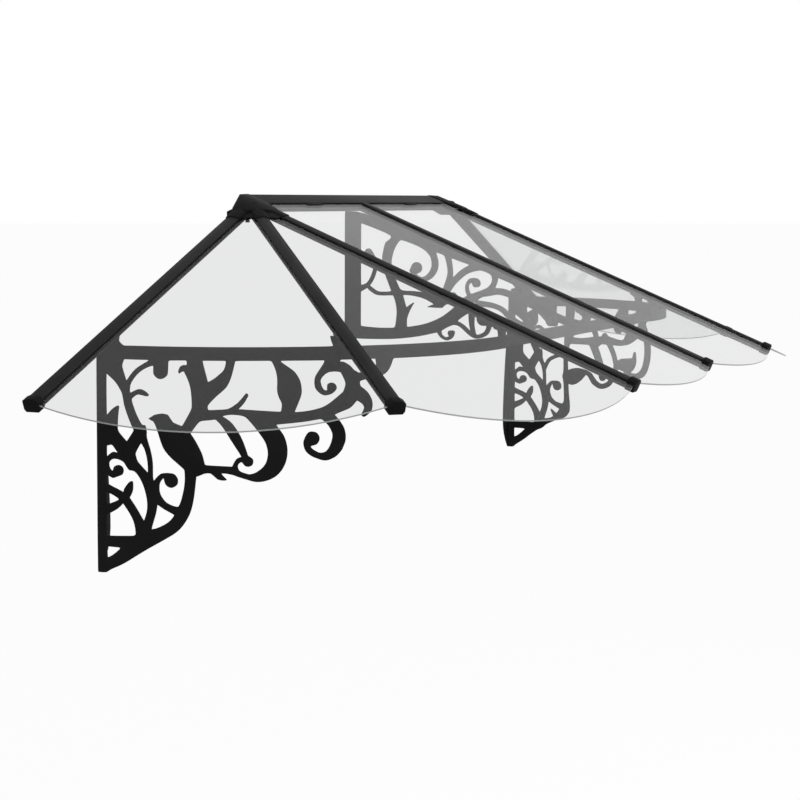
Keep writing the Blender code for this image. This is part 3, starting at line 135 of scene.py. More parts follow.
class CANOPY_PG_stage(PropertyGroup):
    """Floor, lights and camera."""

    floor_drop: FloatProperty(
        name="Floor drop", description="How far the floor lies below the ridge", unit="LENGTH",
        min=0.7, max=4.0, default=2.15)
    floor_grey: FloatVectorProperty(
        name="Floor", description="Colour of the floor", subtype="COLOR", size=3, min=0.0,
        max=1.0, default=(0.86, 0.86, 0.86))
    floor_white: FloatProperty(
        name="Floor white", description="Share of plain white in the floor as it is seen",
        min=0.0, max=1.0, default=0.94)
    sky_strength: FloatProperty(
        name="Sky", description="Strength of the even light from all sides", min=0.0, max=2.0,
        default=0.62)
    key_watts: FloatProperty(
        name="Key light", description="Power of the large lamp in front", min=0.0, max=2000.0,
        default=170.0)
    fill_watts: FloatProperty(
        name="Fill light", description="Power of the lamp on the right", min=0.0, max=2000.0,
        default=60.0)
    camera_place: FloatVectorProperty(
        name="Camera place", description="Where the camera stands", subtype="TRANSLATION",
        unit="LENGTH", size=3, default=(-4.33434, -2.0, 0.00096))
    camera_heading: FloatProperty(
        name="Heading", description="Direction of view in plan, from the wall's line",
        subtype="ANGLE", default=0.46299)
    camera_pitch: FloatProperty(
        name="Pitch", description="How far the view tips down", subtype="ANGLE", default=-0.08447)
    focal_share: FloatProperty(
        name="Focal length", description="Focal length in picture widths", min=0.5, max=6.0,
        default=2.55371)
    centre_x: FloatProperty(
        name="Centre across", description="Picture place of the optical axis, in picture widths",
        default=0.352941)
    centre_y: FloatProperty(
        name="Centre down", description="Picture place of the optical axis, in picture widths",
        default=0.467923)


def settings():
    scene = bpy.context.scene
    return scene.canopy_finishes, scene.canopy_sizes, scene.canopy_stage


# Materials

def new_material(name):
    """An empty node material, made once and used again."""
    material = bpy.data.materials.get(name)
    if material is not None:
        return material, None
    material = bpy.data.materials.new(name)
    material.use_nodes = True
    material.node_tree.nodes.clear()
    return material, material.node_tree


def node(tree, kind, place, **values):
    item = tree.nodes.new(kind)
    item.location = place
    for name, value in values.items():
        if name.startswith("_"):
            setattr(item, name[1:], value)
        else:
            item.inputs[name.replace("_", " ")].default_value = value
    return item


def link(tree, source, target):
    tree.links.new(source, target)


def coat_material(name, colour, rough, shine, grain, relief, dust=0.10):
    """Sprayed or moulded black: fine grain in the relief, soft patches in the gloss."""
    material, tree = new_material(name)
    if tree is None:
        return material
    output = node(tree, "ShaderNodeOutputMaterial", (900, 0))
    shader = node(tree, "ShaderNodeBsdfPrincipled", (600, 0))
    shader.inputs["Specular IOR Level"].default_value = shine
    shader.inputs["IOR"].default_value = 1.5
    link(tree, shader.outputs["BSDF"], output.inputs["Surface"])
    place = node(tree, "ShaderNodeTexCoord", (-900, 0))
    fine = node(tree, "ShaderNodeTexNoise", (-600, -250), Scale=1.0 / grain, Detail=2.0,
                Roughness=0.55)
    broad = node(tree, "ShaderNodeTexNoise", (-600, 200), Scale=9.0, Detail=4.0, Roughness=0.6)
    for texture in (fine, broad):
        link(tree, place.outputs["Object"], texture.inputs["Vector"])
    tone = node(tree, "ShaderNodeMix", (-100, 250), _data_type="RGBA")
    low = [c * (1.0 - dust) for c in colour]
    high = [c * (1.0 + dust * 2.0) + 0.0005 for c in colour]
    tone.inputs[6].default_value = (*low, 1.0)
    tone.inputs[7].default_value = (*high, 1.0)
    spread = node(tree, "ShaderNodeMapRange", (-350, 250))
    spread.inputs["From Min"].default_value = 0.35
    spread.inputs["From Max"].default_value = 0.65
    link(tree, broad.outputs["Fac"], spread.inputs["Value"])
    link(tree, spread.outputs["Result"], tone.inputs["Factor"])
    link(tree, tone.outputs[2], shader.inputs["Base Color"])
    gloss = node(tree, "ShaderNodeMapRange", (-100, 0))
    gloss.inputs["To Min"].default_value = rough - 0.03
    gloss.inputs["To Max"].default_value = rough + 0.04
    link(tree, fine.outputs["Fac"], gloss.inputs["Value"])
    link(tree, gloss.outputs["Result"], shader.inputs["Roughness"])
    bump = node(tree, "ShaderNodeBump", (300, -250), Strength=0.08, Distance=relief)
    link(tree, fine.outputs["Fac"], bump.inputs["Height"])
    link(tree, bump.outputs["Normal"], shader.inputs["Normal"])
    return material


def sheet_material():
    """Clear sheet: tinted see-through body with a mirror film that grows at a flat angle."""
    finishes = settings()[0]
    material, tree = new_material("clear_sheet_face")
    if tree is None:
        return material
    output = node(tree, "ShaderNodeOutputMaterial", (900, 0))
    clear = node(tree, "ShaderNodeBsdfTransparent", (0, 200))
    clear.inputs["Color"].default_value = (*finishes.sheet_tint, 1.0)
    film = node(tree, "ShaderNodeBsdfGlossy", (0, -50))
    film.inputs["Color"].default_value = (1.0, 1.0, 1.0, 1.0)
    place = node(tree, "ShaderNodeTexCoord", (-900, -100))
    streaks = node(tree, "ShaderNodeTexNoise", (-600, -100), Scale=2.2, Detail=3.0, Roughness=0.5)
    rough = node(tree, "ShaderNodeMapRange", (-300, -100))
    rough.inputs["To Min"].default_value = 0.03
    rough.inputs["To Max"].default_value = 0.09
    link(tree, place.outputs["Object"], streaks.inputs["Vector"])
    link(tree, streaks.outputs["Fac"], rough.inputs["Value"])
    link(tree, rough.outputs["Result"], film.inputs["Roughness"])
    edge_on = node(tree, "ShaderNodeLayerWeight", (-300, 400), Blend=0.5)
    steep = node(tree, "ShaderNodeMath", (-100, 400), _operation="POWER")
    steep.inputs[1].default_value = 5.0
    share = node(tree, "ShaderNodeMath", (100, 400), _operation="MULTIPLY_ADD")
    share.inputs[1].default_value = finishes.sheet_gloss
    share.inputs[2].default_value = 0.016
    link(tree, edge_on.outputs["Facing"], steep.inputs[0])
    link(tree, steep.outputs["Value"], share.inputs[0])
    blend = node(tree, "ShaderNodeMixShader", (400, 100))
    link(tree, share.outputs["Value"], blend.inputs["Fac"])
    link(tree, clear.outputs["BSDF"], blend.inputs[1])
    link(tree, film.outputs["BSDF"], blend.inputs[2])
    link(tree, blend.outputs["Shader"], output.inputs["Surface"])
    return material


def sheet_edge_material():
    """The sheet's sawn and polished edge, which gathers light and looks grey."""
    finishes = settings()[0]
    material, tree = new_material("clear_sheet_edge")
    if tree is None:
        return material
    output = node(tree, "ShaderNodeOutputMaterial", (900, 0))
    shader = node(tree, "ShaderNodeBsdfPrincipled", (600, 0))
    shader.inputs["Roughness"].default_value = 0.28
    shader.inputs["Alpha"].default_value = 0.9
    shader.inputs["IOR"].default_value = 1.49
    place = node(tree, "ShaderNodeTexCoord", (-600, 0))
    marks = node(tree, "ShaderNodeTexNoise", (-300, 0), Scale=60.0, Detail=3.0)
    tone = node(tree, "ShaderNodeMix", (100, 0), _data_type="RGBA")
    tone.inputs[6].default_value = (*[c * 0.85 for c in finishes.edge_grey], 1.0)
    tone.inputs[7].default_value = (*[c * 1.15 for c in finishes.edge_grey], 1.0)
    link(tree, place.outputs["Object"], marks.inputs["Vector"])
    link(tree, marks.outputs["Fac"], tone.inputs["Factor"])
    link(tree, tone.outputs[2], shader.inputs["Base Color"])
    link(tree, shader.outputs["BSDF"], output.inputs["Surface"])
    return material


def bar_material():
    finishes = settings()[0]
    return coat_material("bar_powder_coat", finishes.bar_black, 0.60, 0.05, finishes.grain, 0.00004)


def plate_material():
    finishes = settings()[0]
    return coat_material("plate_powder_coat", finishes.plate_black, 0.60, 0.06, finishes.grain,
                         0.00005)


def moulding_material():
    finishes = settings()[0]
    return coat_material("black_moulding", finishes.moulding_black, 0.62, 0.04, finishes.grain * 0.6,
                         0.00004)


def rubber_material():
    finishes = settings()[0]
    return coat_material("gasket_rubber", finishes.rubber_black, 0.85, 0.2, finishes.grain, 0.00005)


def screw_material():
    """Blackened steel, with the plating worn a little brighter in places."""
    finishes = settings()[0]
    material, tree = new_material("blackened_steel")
    if tree is None:
        return material
    output = node(tree, "ShaderNodeOutputMaterial", (900, 0))
    shader = node(tree, "ShaderNodeBsdfPrincipled", (600, 0))
    shader.inputs["Metallic"].default_value = 0.85
    place = node(tree, "ShaderNodeTexCoord", (-600, 0))
    wear = node(tree, "ShaderNodeTexNoise", (-300, 0), Scale=420.0, Detail=4.0, Roughness=0.65)
    tone = node(tree, "ShaderNodeMix", (100, 150), _data_type="RGBA")
    tone.inputs[6].default_value = (*finishes.screw_black, 1.0)
    tone.inputs[7].default_value = (*[c * 2.2 for c in finishes.screw_black], 1.0)
    gloss = node(tree, "ShaderNodeMapRange", (100, -100))
    gloss.inputs["To Min"].default_value = 0.30
    gloss.inputs["To Max"].default_value = 0.55
    link(tree, place.outputs["Object"], wear.inputs["Vector"])
    link(tree, wear.outputs["Fac"], tone.inputs["Factor"])
    link(tree, wear.outputs["Fac"], gloss.inputs["Value"])
    link(tree, tone.outputs[2], shader.inputs["Base Color"])
    link(tree, gloss.outputs["Result"], shader.inputs["Roughness"])
    link(tree, shader.outputs["BSDF"], output.inputs["Surface"])
    return material


# Shaping helpers

def select_only(*objects):
    if bpy.context.object is not None and bpy.context.object.mode != "OBJECT":
        bpy.ops.object.mode_set(mode="OBJECT")
    bpy.ops.object.select_all(action="DESELECT")
    for obj in objects:
        obj.select_set(True)
    bpy.context.view_layer.objects.active = objects[0]


def copy_of(name, new_name):
    """A merged copy of a CAD node's mesh, as an object of its own."""
    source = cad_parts[name]
    mesh = source.data.copy()
    obj = bpy.data.objects.new(new_name, mesh)
    obj.matrix_world = source.matrix_world
    bpy.context.scene.collection.objects.link(obj)
    mesh.materials.clear()
    select_only(obj)
    bpy.ops.object.mode_set(mode="EDIT")
    bpy.ops.mesh.select_all(action="SELECT")
    bpy.ops.mesh.remove_doubles(threshold=0.00001)
    bpy.ops.object.mode_set(mode="OBJECT")
    bpy.ops.object.transform_apply(location=True, rotation=True, scale=True)
    return obj


def shade(obj, degrees):
    select_only(obj)
    bpy.ops.object.shade_smooth_by_angle(angle=math.radians(degrees))


def dress(obj, material, slot_name, *replaced):
    """Gives a new piece its finish and its body, and hides the CAD nodes that it stands for."""
    if not obj.data.materials:
        obj.data.materials.append(material)
    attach(obj, "root")
    if replaced:
        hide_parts(*replaced)


def paint(name, material):
    """A CAD node that keeps its own mesh gets its finish."""
    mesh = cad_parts[name].data
    mesh.materials.clear()
    mesh.materials.append(material)


def rounded_copy(name, new_name, width, segments=2, sharp=35.0, flat=1.0):
    """A CAD node's form with its flat faces joined and its edges rounded."""
    obj = copy_of(name, new_name)
    bpy.ops.object.mode_set(mode="EDIT")
    bpy.ops.mesh.select_all(action="SELECT")
    bpy.ops.mesh.dissolve_limited(angle_limit=math.radians(flat), use_dissolve_boundaries=False)
    bpy.ops.object.mode_set(mode="OBJECT")
    bevel = obj.modifiers.new("round", "BEVEL")
    bevel.width = width
    bevel.segments = segments
    bevel.limit_method = "ANGLE"
    bevel.angle_limit = math.radians(sharp)
    bevel.use_clamp_overlap = True
    bevel.harden_normals = False
    bpy.ops.object.modifier_apply(modifier=bevel.name)
    shade(obj, 30)
    return obj


def outline_neighbours(vert, sharp_edges):
    return [edge.other_vert(vert) for edge in vert.link_edges if edge in sharp_edges]


def smooth_plate(name, new_name, turn, levels, width):
    """A scroll plate whose straight-cut outline becomes an even curve, with rounded edges.

    The outline's points are first moved outwards by the amount that the smoothing takes back,
    so that the finished curve passes through them.
    """
    obj = copy_of(name, new_name)
    bm = bmesh.new()
    bm.from_mesh(obj.data)
    crease = bm.edges.layers.float.new("crease_edge")
    sharp = {edge for edge in bm.edges
             if len(edge.link_faces) == 2 and edge.calc_face_angle(0.0) > turn}
    moves = {}
    for vert in bm.verts:
        ends = outline_neighbours(vert, sharp)
        if len(ends) == 2:
            moves[vert] = (vert.co * 2 - ends[0].co - ends[1].co) * 0.175
    for vert, move in moves.items():
        if move.length > 1.2 * MM:
            move = move.normalized() * 1.2 * MM
        vert.co += move
    for edge in sharp:
        edge[crease] = 1.0
    bm.to_mesh(obj.data)
    bm.free()
    select_only(obj)
    curve = obj.modifiers.new("curve", "SUBSURF")
    curve.levels = levels
    curve.render_levels = levels
    bpy.ops.object.modifier_apply(modifier=curve.name)
    bevel = obj.modifiers.new("round", "BEVEL")
    bevel.width = width
    bevel.segments = 1
    bevel.limit_method = "ANGLE"
    bevel.angle_limit = turn
    bevel.use_clamp_overlap = True
    bpy.ops.object.modifier_apply(modifier=bevel.name)
    crease_layer = obj.data.attributes.get("crease_edge")
    if crease_layer is not None:
        obj.data.attributes.remove(crease_layer)
    shade(obj, 35)
    return obj


# Bars, caps and hub covers are modelled in a bar's own frame: x down its slope from the hub's
# axis, y level across it, z square to its top.

AXIS_OFFSET = 0.028         # from the wall to the hubs' axes
RIDGE_HALF = 0.539          # from the canopy's middle to a hub's axis
BAR_LENGTH = 0.9046
BAR_RUN = 0.835             # a bar's length in plan
BAR_DROP = 0.348            # how far its outer end lies below its hub
SLOPE = BAR_DROP / BAR_RUN
TILT = math.atan(SLOPE)
HIP_FALL = 0.1594           # how fast a hip sheet falls away beside its bar
HALF_SECTOR = math.radians(22.5)
# name: hub's place along the ridge, direction in plan, falls of the sheets on its two sides
BAR_PLACES = {
    "a": (-RIDGE_HALF, 180, (None, HIP_FALL)),
    "b": (-RIDGE_HALF, 225, (HIP_FALL, HIP_FALL)),
    "c": (-RIDGE_HALF, 270, (HIP_FALL, 0.0)),
    "d": (0.0, 270, (0.0, 0.0)),
    "e": (RIDGE_HALF, 270, (0.0, HIP_FALL)),
    "f": (RIDGE_HALF, 315, (HIP_FALL, HIP_FALL)),
    "g": (RIDGE_HALF, 360, (HIP_FALL, None)),
}
BASE_START = 0.0520         # from a hub's axis to where a bar's base begins
MIDDLE_BASE_START = 0.0145  # the same for the middle bar, which begins at the ridge
COVER_START = 0.0560
MIDDLE_COVER_START = 0.0180
SEAT = -0.0021              # level of a base's top, under its gasket
BASE_LOW = -0.014
BASE_HALF = 0.0145
BASE_FLANGE = 0.0022
BOX_HALF = 0.0102
GASKET_HALF = 0.0138
GASKET_TOP = -0.0003
GASKET_LOW = -0.0018
COVER_WALL = 0.0020
COVER_LOW = 0.0031          # where a cover's lips bear on the sheets
COVER_ROOF = 0.0046
COVER_SHOULDER = 0.0009
CAP_CORNER = 0.0040
CAP_UNDER = 0.0019
CAP_PEAK = 0.0034           # how far a cap's top stands over its bar's cover
NOSE_DEPTH = 0.0035
NOSE_SHARE = 0.80
ARM_TOP = 0.0022            # how far an arm's top stands over its bar's cover
WEB_LOW = 0.0036
WEB_HIGH = 0.0062


def bar_frame(letter):
    hub_x, degrees, falls = BAR_PLACES[letter]
    angle = math.radians(degrees)
    along = Vector((math.cos(angle) * math.cos(TILT), math.sin(angle) * math.cos(TILT),
                    -math.sin(TILT)))
    across = Vector((-math.sin(angle), math.cos(angle), 0.0))
    matrix = Matrix((along, across, along.cross(across))).transposed().to_4x4()
    matrix.translation = (hub_x, -AXIS_OFFSET, 0.0)
    if letter in "ag":
        matrix.translation.y -= settings()[1].side_shift
    return matrix


def fall_at(across, falls):
    fall = falls[0] if across < 0 else falls[1]
    return abs(across) * (fall or 0.0)


def solid_along(name, section, start, end, matrix):
    """A closed section, drawn from a ring and extruded down a bar."""
    bpy.ops.object.select_all(action="DESELECT")
    bpy.ops.mesh.primitive_circle_add(vertices=len(section), radius=0.01, fill_type="NGON")
    obj = bpy.context.object
    obj.name = name
    for vert, (across, level) in zip(obj.data.vertices, section):
        vert.co = matrix @ Vector((start, across, level))
    bpy.ops.object.mode_set(mode="EDIT")
    bpy.ops.mesh.select_all(action="SELECT")
    run = matrix.to_3x3() @ Vector((end - start, 0.0, 0.0))
    bpy.ops.mesh.extrude_region_move(TRANSFORM_OT_translate={"value": run})
    bpy.ops.mesh.select_all(action="SELECT")
    bpy.ops.mesh.normals_make_consistent(inside=False)
    bpy.ops.object.mode_set(mode="OBJECT")
    return obj


def solid_round(name, points):
    """The tightest closed skin round a set of corners."""
    bpy.ops.object.select_all(action="DESELECT")
    bpy.ops.mesh.primitive_circle_add(vertices=len(points), radius=0.01, fill_type="NOTHING")
    obj = bpy.context.object
    obj.name = name
    for vert, place in zip(obj.data.vertices, points):
        vert.co = place
    bpy.ops.object.mode_set(mode="EDIT")
    bpy.ops.mesh.select_all(action="SELECT")
    bpy.ops.mesh.convex_hull()
    bpy.ops.mesh.select_all(action="SELECT")
    bpy.ops.mesh.dissolve_limited(angle_limit=math.radians(1.0))
    bpy.ops.mesh.select_all(action="SELECT")
    bpy.ops.mesh.normals_make_consistent(inside=False)
    bpy.ops.object.mode_set(mode="OBJECT")
    return obj


def soften(obj, width, segments, sharp=25.0):
    """Rounds a closed piece's edges and shades it."""
    select_only(obj)
    bevel = obj.modifiers.new("round", "BEVEL")
    bevel.width = width
    bevel.segments = segments
    bevel.limit_method = "ANGLE"
    bevel.angle_limit = math.radians(sharp)
    bevel.use_clamp_overlap = True
    bpy.ops.object.modifier_apply(modifier=bevel.name)
    shade(obj, 32)
    return obj


def join_as(name, pieces):
    select_only(*pieces)
    bpy.ops.object.join()
    pieces[0].name = name
    return pieces[0]


# Operators: one for each kind of piece

class CANOPY_OT_bars(Operator):
    """Model and coat the glazing bars' bases, gaskets and covers, and the ridge."""

    bl_idname = "canopy.bars"
    bl_label = "Glazing bars and ridge"

    def execute(self, context):
        sizes = settings()[1]
        for letter in BARS:
            falls = BAR_PLACES[letter][2]
            matrix = bar_frame(letter)
            start = MIDDLE_BASE_START if letter == "d" else BASE_START
            cover_start = MIDDLE_COVER_START if letter == "d" else COVER_START
            self.make_base(letter, falls, matrix, start)
            self.make_gasket(letter, falls, matrix, cover_start)
            self.make_cover(letter, falls, matrix, cover_start, sizes)
        for name in ("ridge_beam", "ridge_cover"):
            obj = rounded_copy(name, name + "_coated", sizes.edge_round)
            dress(obj, bar_material(), "bar_metal", name)
        for side in SIDES:
            name = "ridge_clip_" + side
            middle = 0.270 if side == "right" else -0.270
            lip = []
            for half, y in ((0.0400, -0.0440), (0.0350, -0.0530)):
                for x in (middle - half, middle + half):
                    level = SLOPE * (y + AXIS_OFFSET)
                    lip += [(x, y, level + 0.0034), (x, y, level + 0.0052)]
            lip = soften(solid_round("lip", lip), 0.0004, 2)
            obj = rounded_copy(name, name + "_moulded", sizes.edge_round * 1.5, 3)
            obj = join_as(name + "_moulded", [obj, lip])
            dress(obj, moulding_material(), "moulding", name)
        return {"FINISHED"}

    def make_base(self, letter, falls, matrix, start):
        wide, narrow = BASE_HALF, BOX_HALF
        under = SEAT - BASE_FLANGE
        section = [(place, SEAT - fall_at(place, falls)) for place in (-wide, 0.0, wide)]
        section += [(wide, under - fall_at(wide, falls)), (narrow, under - fall_at(narrow, falls)),
                    (narrow, BASE_LOW), (-narrow, BASE_LOW),
                    (-narrow, under - fall_at(-narrow, falls)),
                    (-wide, under - fall_at(-wide, falls))]
        obj = solid_along("bar_base_%s_coated" % letter, section, start, BAR_LENGTH, matrix)
        soften(obj, 0.0005, 2)
        dress(obj, bar_material(), "bar_metal", "bar_base_" + letter)

    def make_gasket(self, letter, falls, matrix, start):
        half = GASKET_HALF
        top = [(place, GASKET_TOP - fall_at(place, falls)) for place in (-half, 0.0, half)]
        under = [(place, GASKET_LOW - fall_at(place, falls)) for place in (half, 0.0, -half)]
        obj = solid_along("gasket_%s_fitted" % letter, top + under, start, BAR_LENGTH, matrix)
        soften(obj, 0.0003, 1)
        dress(obj, rubber_material(), "gasket", "gasket_" + letter)

    def make_cover(self, letter, falls, matrix, start, sizes):
        """A shallow channel: crowned top, rolled shoulders and lips that bear on the sheets."""
        half, top = sizes.cover_width / 2, sizes.cover_top
        inner = half - COVER_WALL
        low, roof, shoulder = COVER_LOW, COVER_ROOF, top - COVER_SHOULDER
        section = [(-half, low - fall_at(-half, falls)),
                   (-half, shoulder - fall_at(-half, falls)),
                   (-half + 0.0010, top - fall_at(-half, falls)),
                   (-half * 0.45, top + sizes.cover_crown * 0.8 - fall_at(-half * 0.45, falls)),
                   (0.0, top + sizes.cover_crown),
                   (half * 0.45, top + sizes.cover_crown * 0.8 - fall_at(half * 0.45, falls)),
                   (half - 0.0010, top - fall_at(half, falls)),
                   (half, shoulder - fall_at(half, falls)),
                   (half, low - fall_at(half, falls)),
                   (inner, low - fall_at(inner, falls)), (inner, roof - fall_at(inner, falls)),
                   (0.0, roof),
                   (-inner, roof - fall_at(-inner, falls)), (-inner, low - fall_at(-inner, falls))]
        obj = solid_along("bar_cover_%s_coated" % letter, section, start, BAR_LENGTH, matrix)
        soften(obj, 0.00035, 2)
        dress(obj, bar_material(), "bar_metal", "bar_cover_" + letter)


class CANOPY_OT_caps(Operator):
    """Model the moulded end caps: one form with a chamfered nose, fitted to each bar."""

    bl_idname = "canopy.caps"
    bl_label = "End caps"

    def execute(self, context):
        for letter in BARS:
            self.make_cap(letter, settings()[1])
        return {"FINISHED"}

    def make_cap(self, letter, sizes):
        matrix = bar_frame(letter)
        falls = BAR_PLACES[letter][2]
        half = sizes.cap_width / 2
        low = BASE_LOW - CAP_UNDER
        peak = sizes.cover_top + sizes.cover_crown + CAP_PEAK
        left, right = ((fall or 0.0) for fall in falls)
        outline = [(-half, low + 0.0050), (-half + CAP_CORNER, low), (half - CAP_CORNER, low),
                   (half, low + 0.0050), (half, peak - CAP_CORNER - right * half * 0.6),
                   (half * 0.42, peak), (-half * 0.42, peak),
                   (-half, peak - CAP_CORNER - left * half * 0.6)]
        nose = BAR_LENGTH + sizes.cap_nose
        start = nose - sizes.cap_length
        obj = solid_along("end_cap_%s_moulded" % letter, outline, start, nose - NOSE_DEPTH,
                          matrix)
        select_only(obj)
        bpy.ops.object.mode_set(mode="EDIT")
        bm = bmesh.from_edit_mesh(obj.data)
        front = max(bm.faces, key=lambda face: (matrix.inverted() @ face.calc_center_median()).x)
        for face in bm.faces:
            face.select_set(face is front)
        bmesh.update_edit_mesh(obj.data)
        push = matrix.to_3x3() @ Vector((NOSE_DEPTH, 0.0, 0.0))
        middle = matrix @ Vector((nose, 0.0, (low + peak) / 2))
        bpy.ops.mesh.extrude_region_move(TRANSFORM_OT_translate={"value": push})
        bpy.ops.transform.resize(value=(NOSE_SHARE,) * 3, center_override=middle)
        bpy.ops.object.mode_set(mode="OBJECT")
        soften(obj, 0.0010, 3)
        dress(obj, moulding_material(), "moulding", "end_cap_" + letter)


class CANOPY_OT_hubs(Operator):
    """Model the hubs' covers: a hump flush with the ridge, three arms and webs between them."""

    bl_idname = "canopy.hubs"
    bl_label = "Hubs"

    def execute(self, context):
        sizes = settings()[1]
        for side, letters in (("left", "abc"), ("right", "gfe")):
            name = "hub_base_" + side
            obj = rounded_copy(name, name + "_moulded", sizes.edge_round * 1.6, 3)
            dress(obj, moulding_material(), "moulding", name)
            mirror = 1.0 if side == "left" else -1.0
            pieces = [self.arm(letter, sizes) for letter in letters]
            pieces += self.webs(mirror, sizes)
            pieces.append(self.hump(mirror, sizes))
            for piece in pieces:
                soften(piece, 0.0011, 3)
            cover = join_as("hub_cover_%s_moulded" % side, pieces)
            dress(cover, moulding_material(), "moulding", "hub_cover_" + side)
        return {"FINISHED"}

    def arm(self, letter, sizes):
        """A hood over the bar's cover, down to the sheets on both sides."""
        matrix = bar_frame(letter)
        falls = BAR_PLACES[letter][2]
        half = sizes.arm_width / 2
        top = sizes.cover_top + sizes.cover_crown + ARM_TOP
        low = COVER_LOW + 0.0001
        outline = [(-half, low - fall_at(-half, falls)),
                   (-half, top - 0.0028 - fall_at(-half, falls)),
                   (-half * 0.72, top - 0.0004 - fall_at(-half, falls) * 0.6), (0.0, top),
                   (half * 0.72, top - 0.0004 - fall_at(half, falls) * 0.6),
                   (half, top - 0.0028 - fall_at(half, falls)),
                   (half, low - fall_at(half, falls)), (0.0, low)]
        length = sizes.arm_length - (0.006 if letter in "ce" else 0.0)
        return solid_along("arm", outline, 0.012, length, matrix)

    def place(self, mirror, x, y, z):
        return Vector((mirror * (x - RIDGE_HALF), y - AXIS_OFFSET, z))

    def webs(self, mirror, sizes):
        """Sloping fillets between neighbouring arms, just above the sheets."""
        reach = sizes.arm_length * math.cos(TILT)
        made = []
        for first, second in ((180.0, 225.0), (225.0, 270.0)):
            middle = math.radians((first + second) / 2)
            ring = []
            for degrees, share in ((first + 6, 0.93), (first + 15, 0.90), (first + 22.5, 0.955),
                                   (second - 15, 0.90), (second - 6, 0.93)):
                angle = math.radians(degrees)
                ring.append((math.cos(angle) * reach * share, math.sin(angle) * reach * share))
            ring.append((math.cos(middle) * 0.012, math.sin(middle) * 0.012))
            points = []
            for x, y in ring:
                along = x * math.cos(middle) + y * math.sin(middle)
                level = -SLOPE / math.cos(HALF_SECTOR) * along
                points += [self.place(mirror, x, y, level + WEB_LOW),
                           self.place(mirror, x, y, level + WEB_HIGH)]
            made.append(solid_round("web", points))
        points = []
        for x, y in ((0.0, 0.0), (0.0400, -0.0100), (0.0400, -0.0190), (0.0160, -reach * 0.93),
                     (0.0, -reach * 0.91)):
            points += [self.place(mirror, x, y, SLOPE * y + WEB_LOW),
                       self.place(mirror, x, y, SLOPE * y + 0.0066)]
        made.append(solid_round("web", points))
        return made

    def hump(self, mirror, sizes):
        """The raised middle, which meets the ridge's end at its own height."""
        wall, end = AXIS_OFFSET - 0.0004, 0.0415
        half = sizes.arm_width / 2
        shift = sizes.side_shift
        corners = [(0.0100, wall, 0.0160), (-0.0050, 0.0190, 0.0158), (end, wall, 0.0168),
                   (end, 0.0225, 0.0168), (end, -0.0195, 0.0002), (0.0060, 0.0060, 0.0120)]
        radius = 0.060
        edge = -SLOPE * radius + sizes.cover_top + 0.0042
        corners += [(-radius, half - shift, edge), (-radius, -half * 0.8 - shift, edge - 0.0016),
                    (-radius * 0.707 - half * 0.5, -radius * 0.707 + half * 0.5, edge - 0.0010),
                    (-radius * 0.707 + half * 0.5, -radius * 0.707 - half * 0.5, edge - 0.0010),
                    (-half * 0.8, -radius, edge - 0.0016), (half, -radius, edge - 0.0006),
                    (-0.0235, wall, -0.0128)]
        points = []
        for x, y, z in corners:
            points.append(self.place(mirror, x, y, z))
            if z < 0.010:
                points.append(self.place(mirror, x, y, z - 0.0050))
        points += [self.place(mirror, end, wall, 0.0035), self.place(mirror, 0.0, wall, 0.0035)]
        return solid_round("hump", points)


class CANOPY_OT_panels(Operator):
    """Give the clear sheets their faces, polished edges and finishes."""

    bl_idname = "canopy.panels"
    bl_label = "Clear panels"

    def execute(self, context):
        for pair in PANELS:
            name = "panel_" + pair
            obj = copy_of(name, name + "_clear")
            bpy.ops.object.mode_set(mode="EDIT")
            bpy.ops.mesh.select_all(action="SELECT")
            bpy.ops.mesh.dissolve_limited(angle_limit=math.radians(0.5))
            bpy.ops.object.mode_set(mode="OBJECT")
            obj.data.materials.append(sheet_material())
            obj.data.materials.append(sheet_edge_material())
            for face in obj.data.polygons:
                face.material_index = 0 if face.normal.z ** 2 > 0.4 else 1
            shade(obj, 30)
            dress(obj, sheet_material(), "clear_sheet", name)
        return {"FINISHED"}


class CANOPY_OT_plates(Operator):
    """Smooth the scroll plates' outlines, round their cut edges and coat them."""

    bl_idname = "canopy.plates"
    bl_label = "Scroll plates and rail"

    def execute(self, context):
        sizes = settings()[1]
        for name in ("scroll_plate_left", "scroll_plate_right", "middle_gusset"):
            obj = smooth_plate(name, name + "_coated", sizes.tip_turn, sizes.plate_levels,
                               sizes.plate_round)
            dress(obj, plate_material(), "plate_metal", name)
        obj = rounded_copy("front_rail", "front_rail_coated", sizes.plate_round, 1)
        dress(obj, plate_material(), "plate_metal", "front_rail")
        return {"FINISHED"}


class CANOPY_OT_screws(Operator):
    """Finish the screws that hold the bars and the rail."""

    bl_idname = "canopy.screws"
    bl_label = "Screws"

    def execute(self, context):
        names = ["bar_screw_" + letter for letter in BARS]
        names += ["rail_screw_%d" % (i + 1) for i in range(4)]
        for name in names:
            obj = rounded_copy(name, name + "_plated", 0.0006, 3)
            dress(obj, screw_material(), "screw", name)
        return {"FINISHED"}


class CANOPY_OT_stage(Operator):
    """Set the floor, the even sky, the lamps and the camera."""

    bl_idname = "canopy.stage"
    bl_label = "Stage"

    def execute(self, context):
        stage = settings()[2]
        make_floor(stage)
        make_sky(stage)
        make_lamps(stage)
        make_camera(stage)
        context.scene.view_settings.view_transform = "Standard"
        return {"FINISHED"}


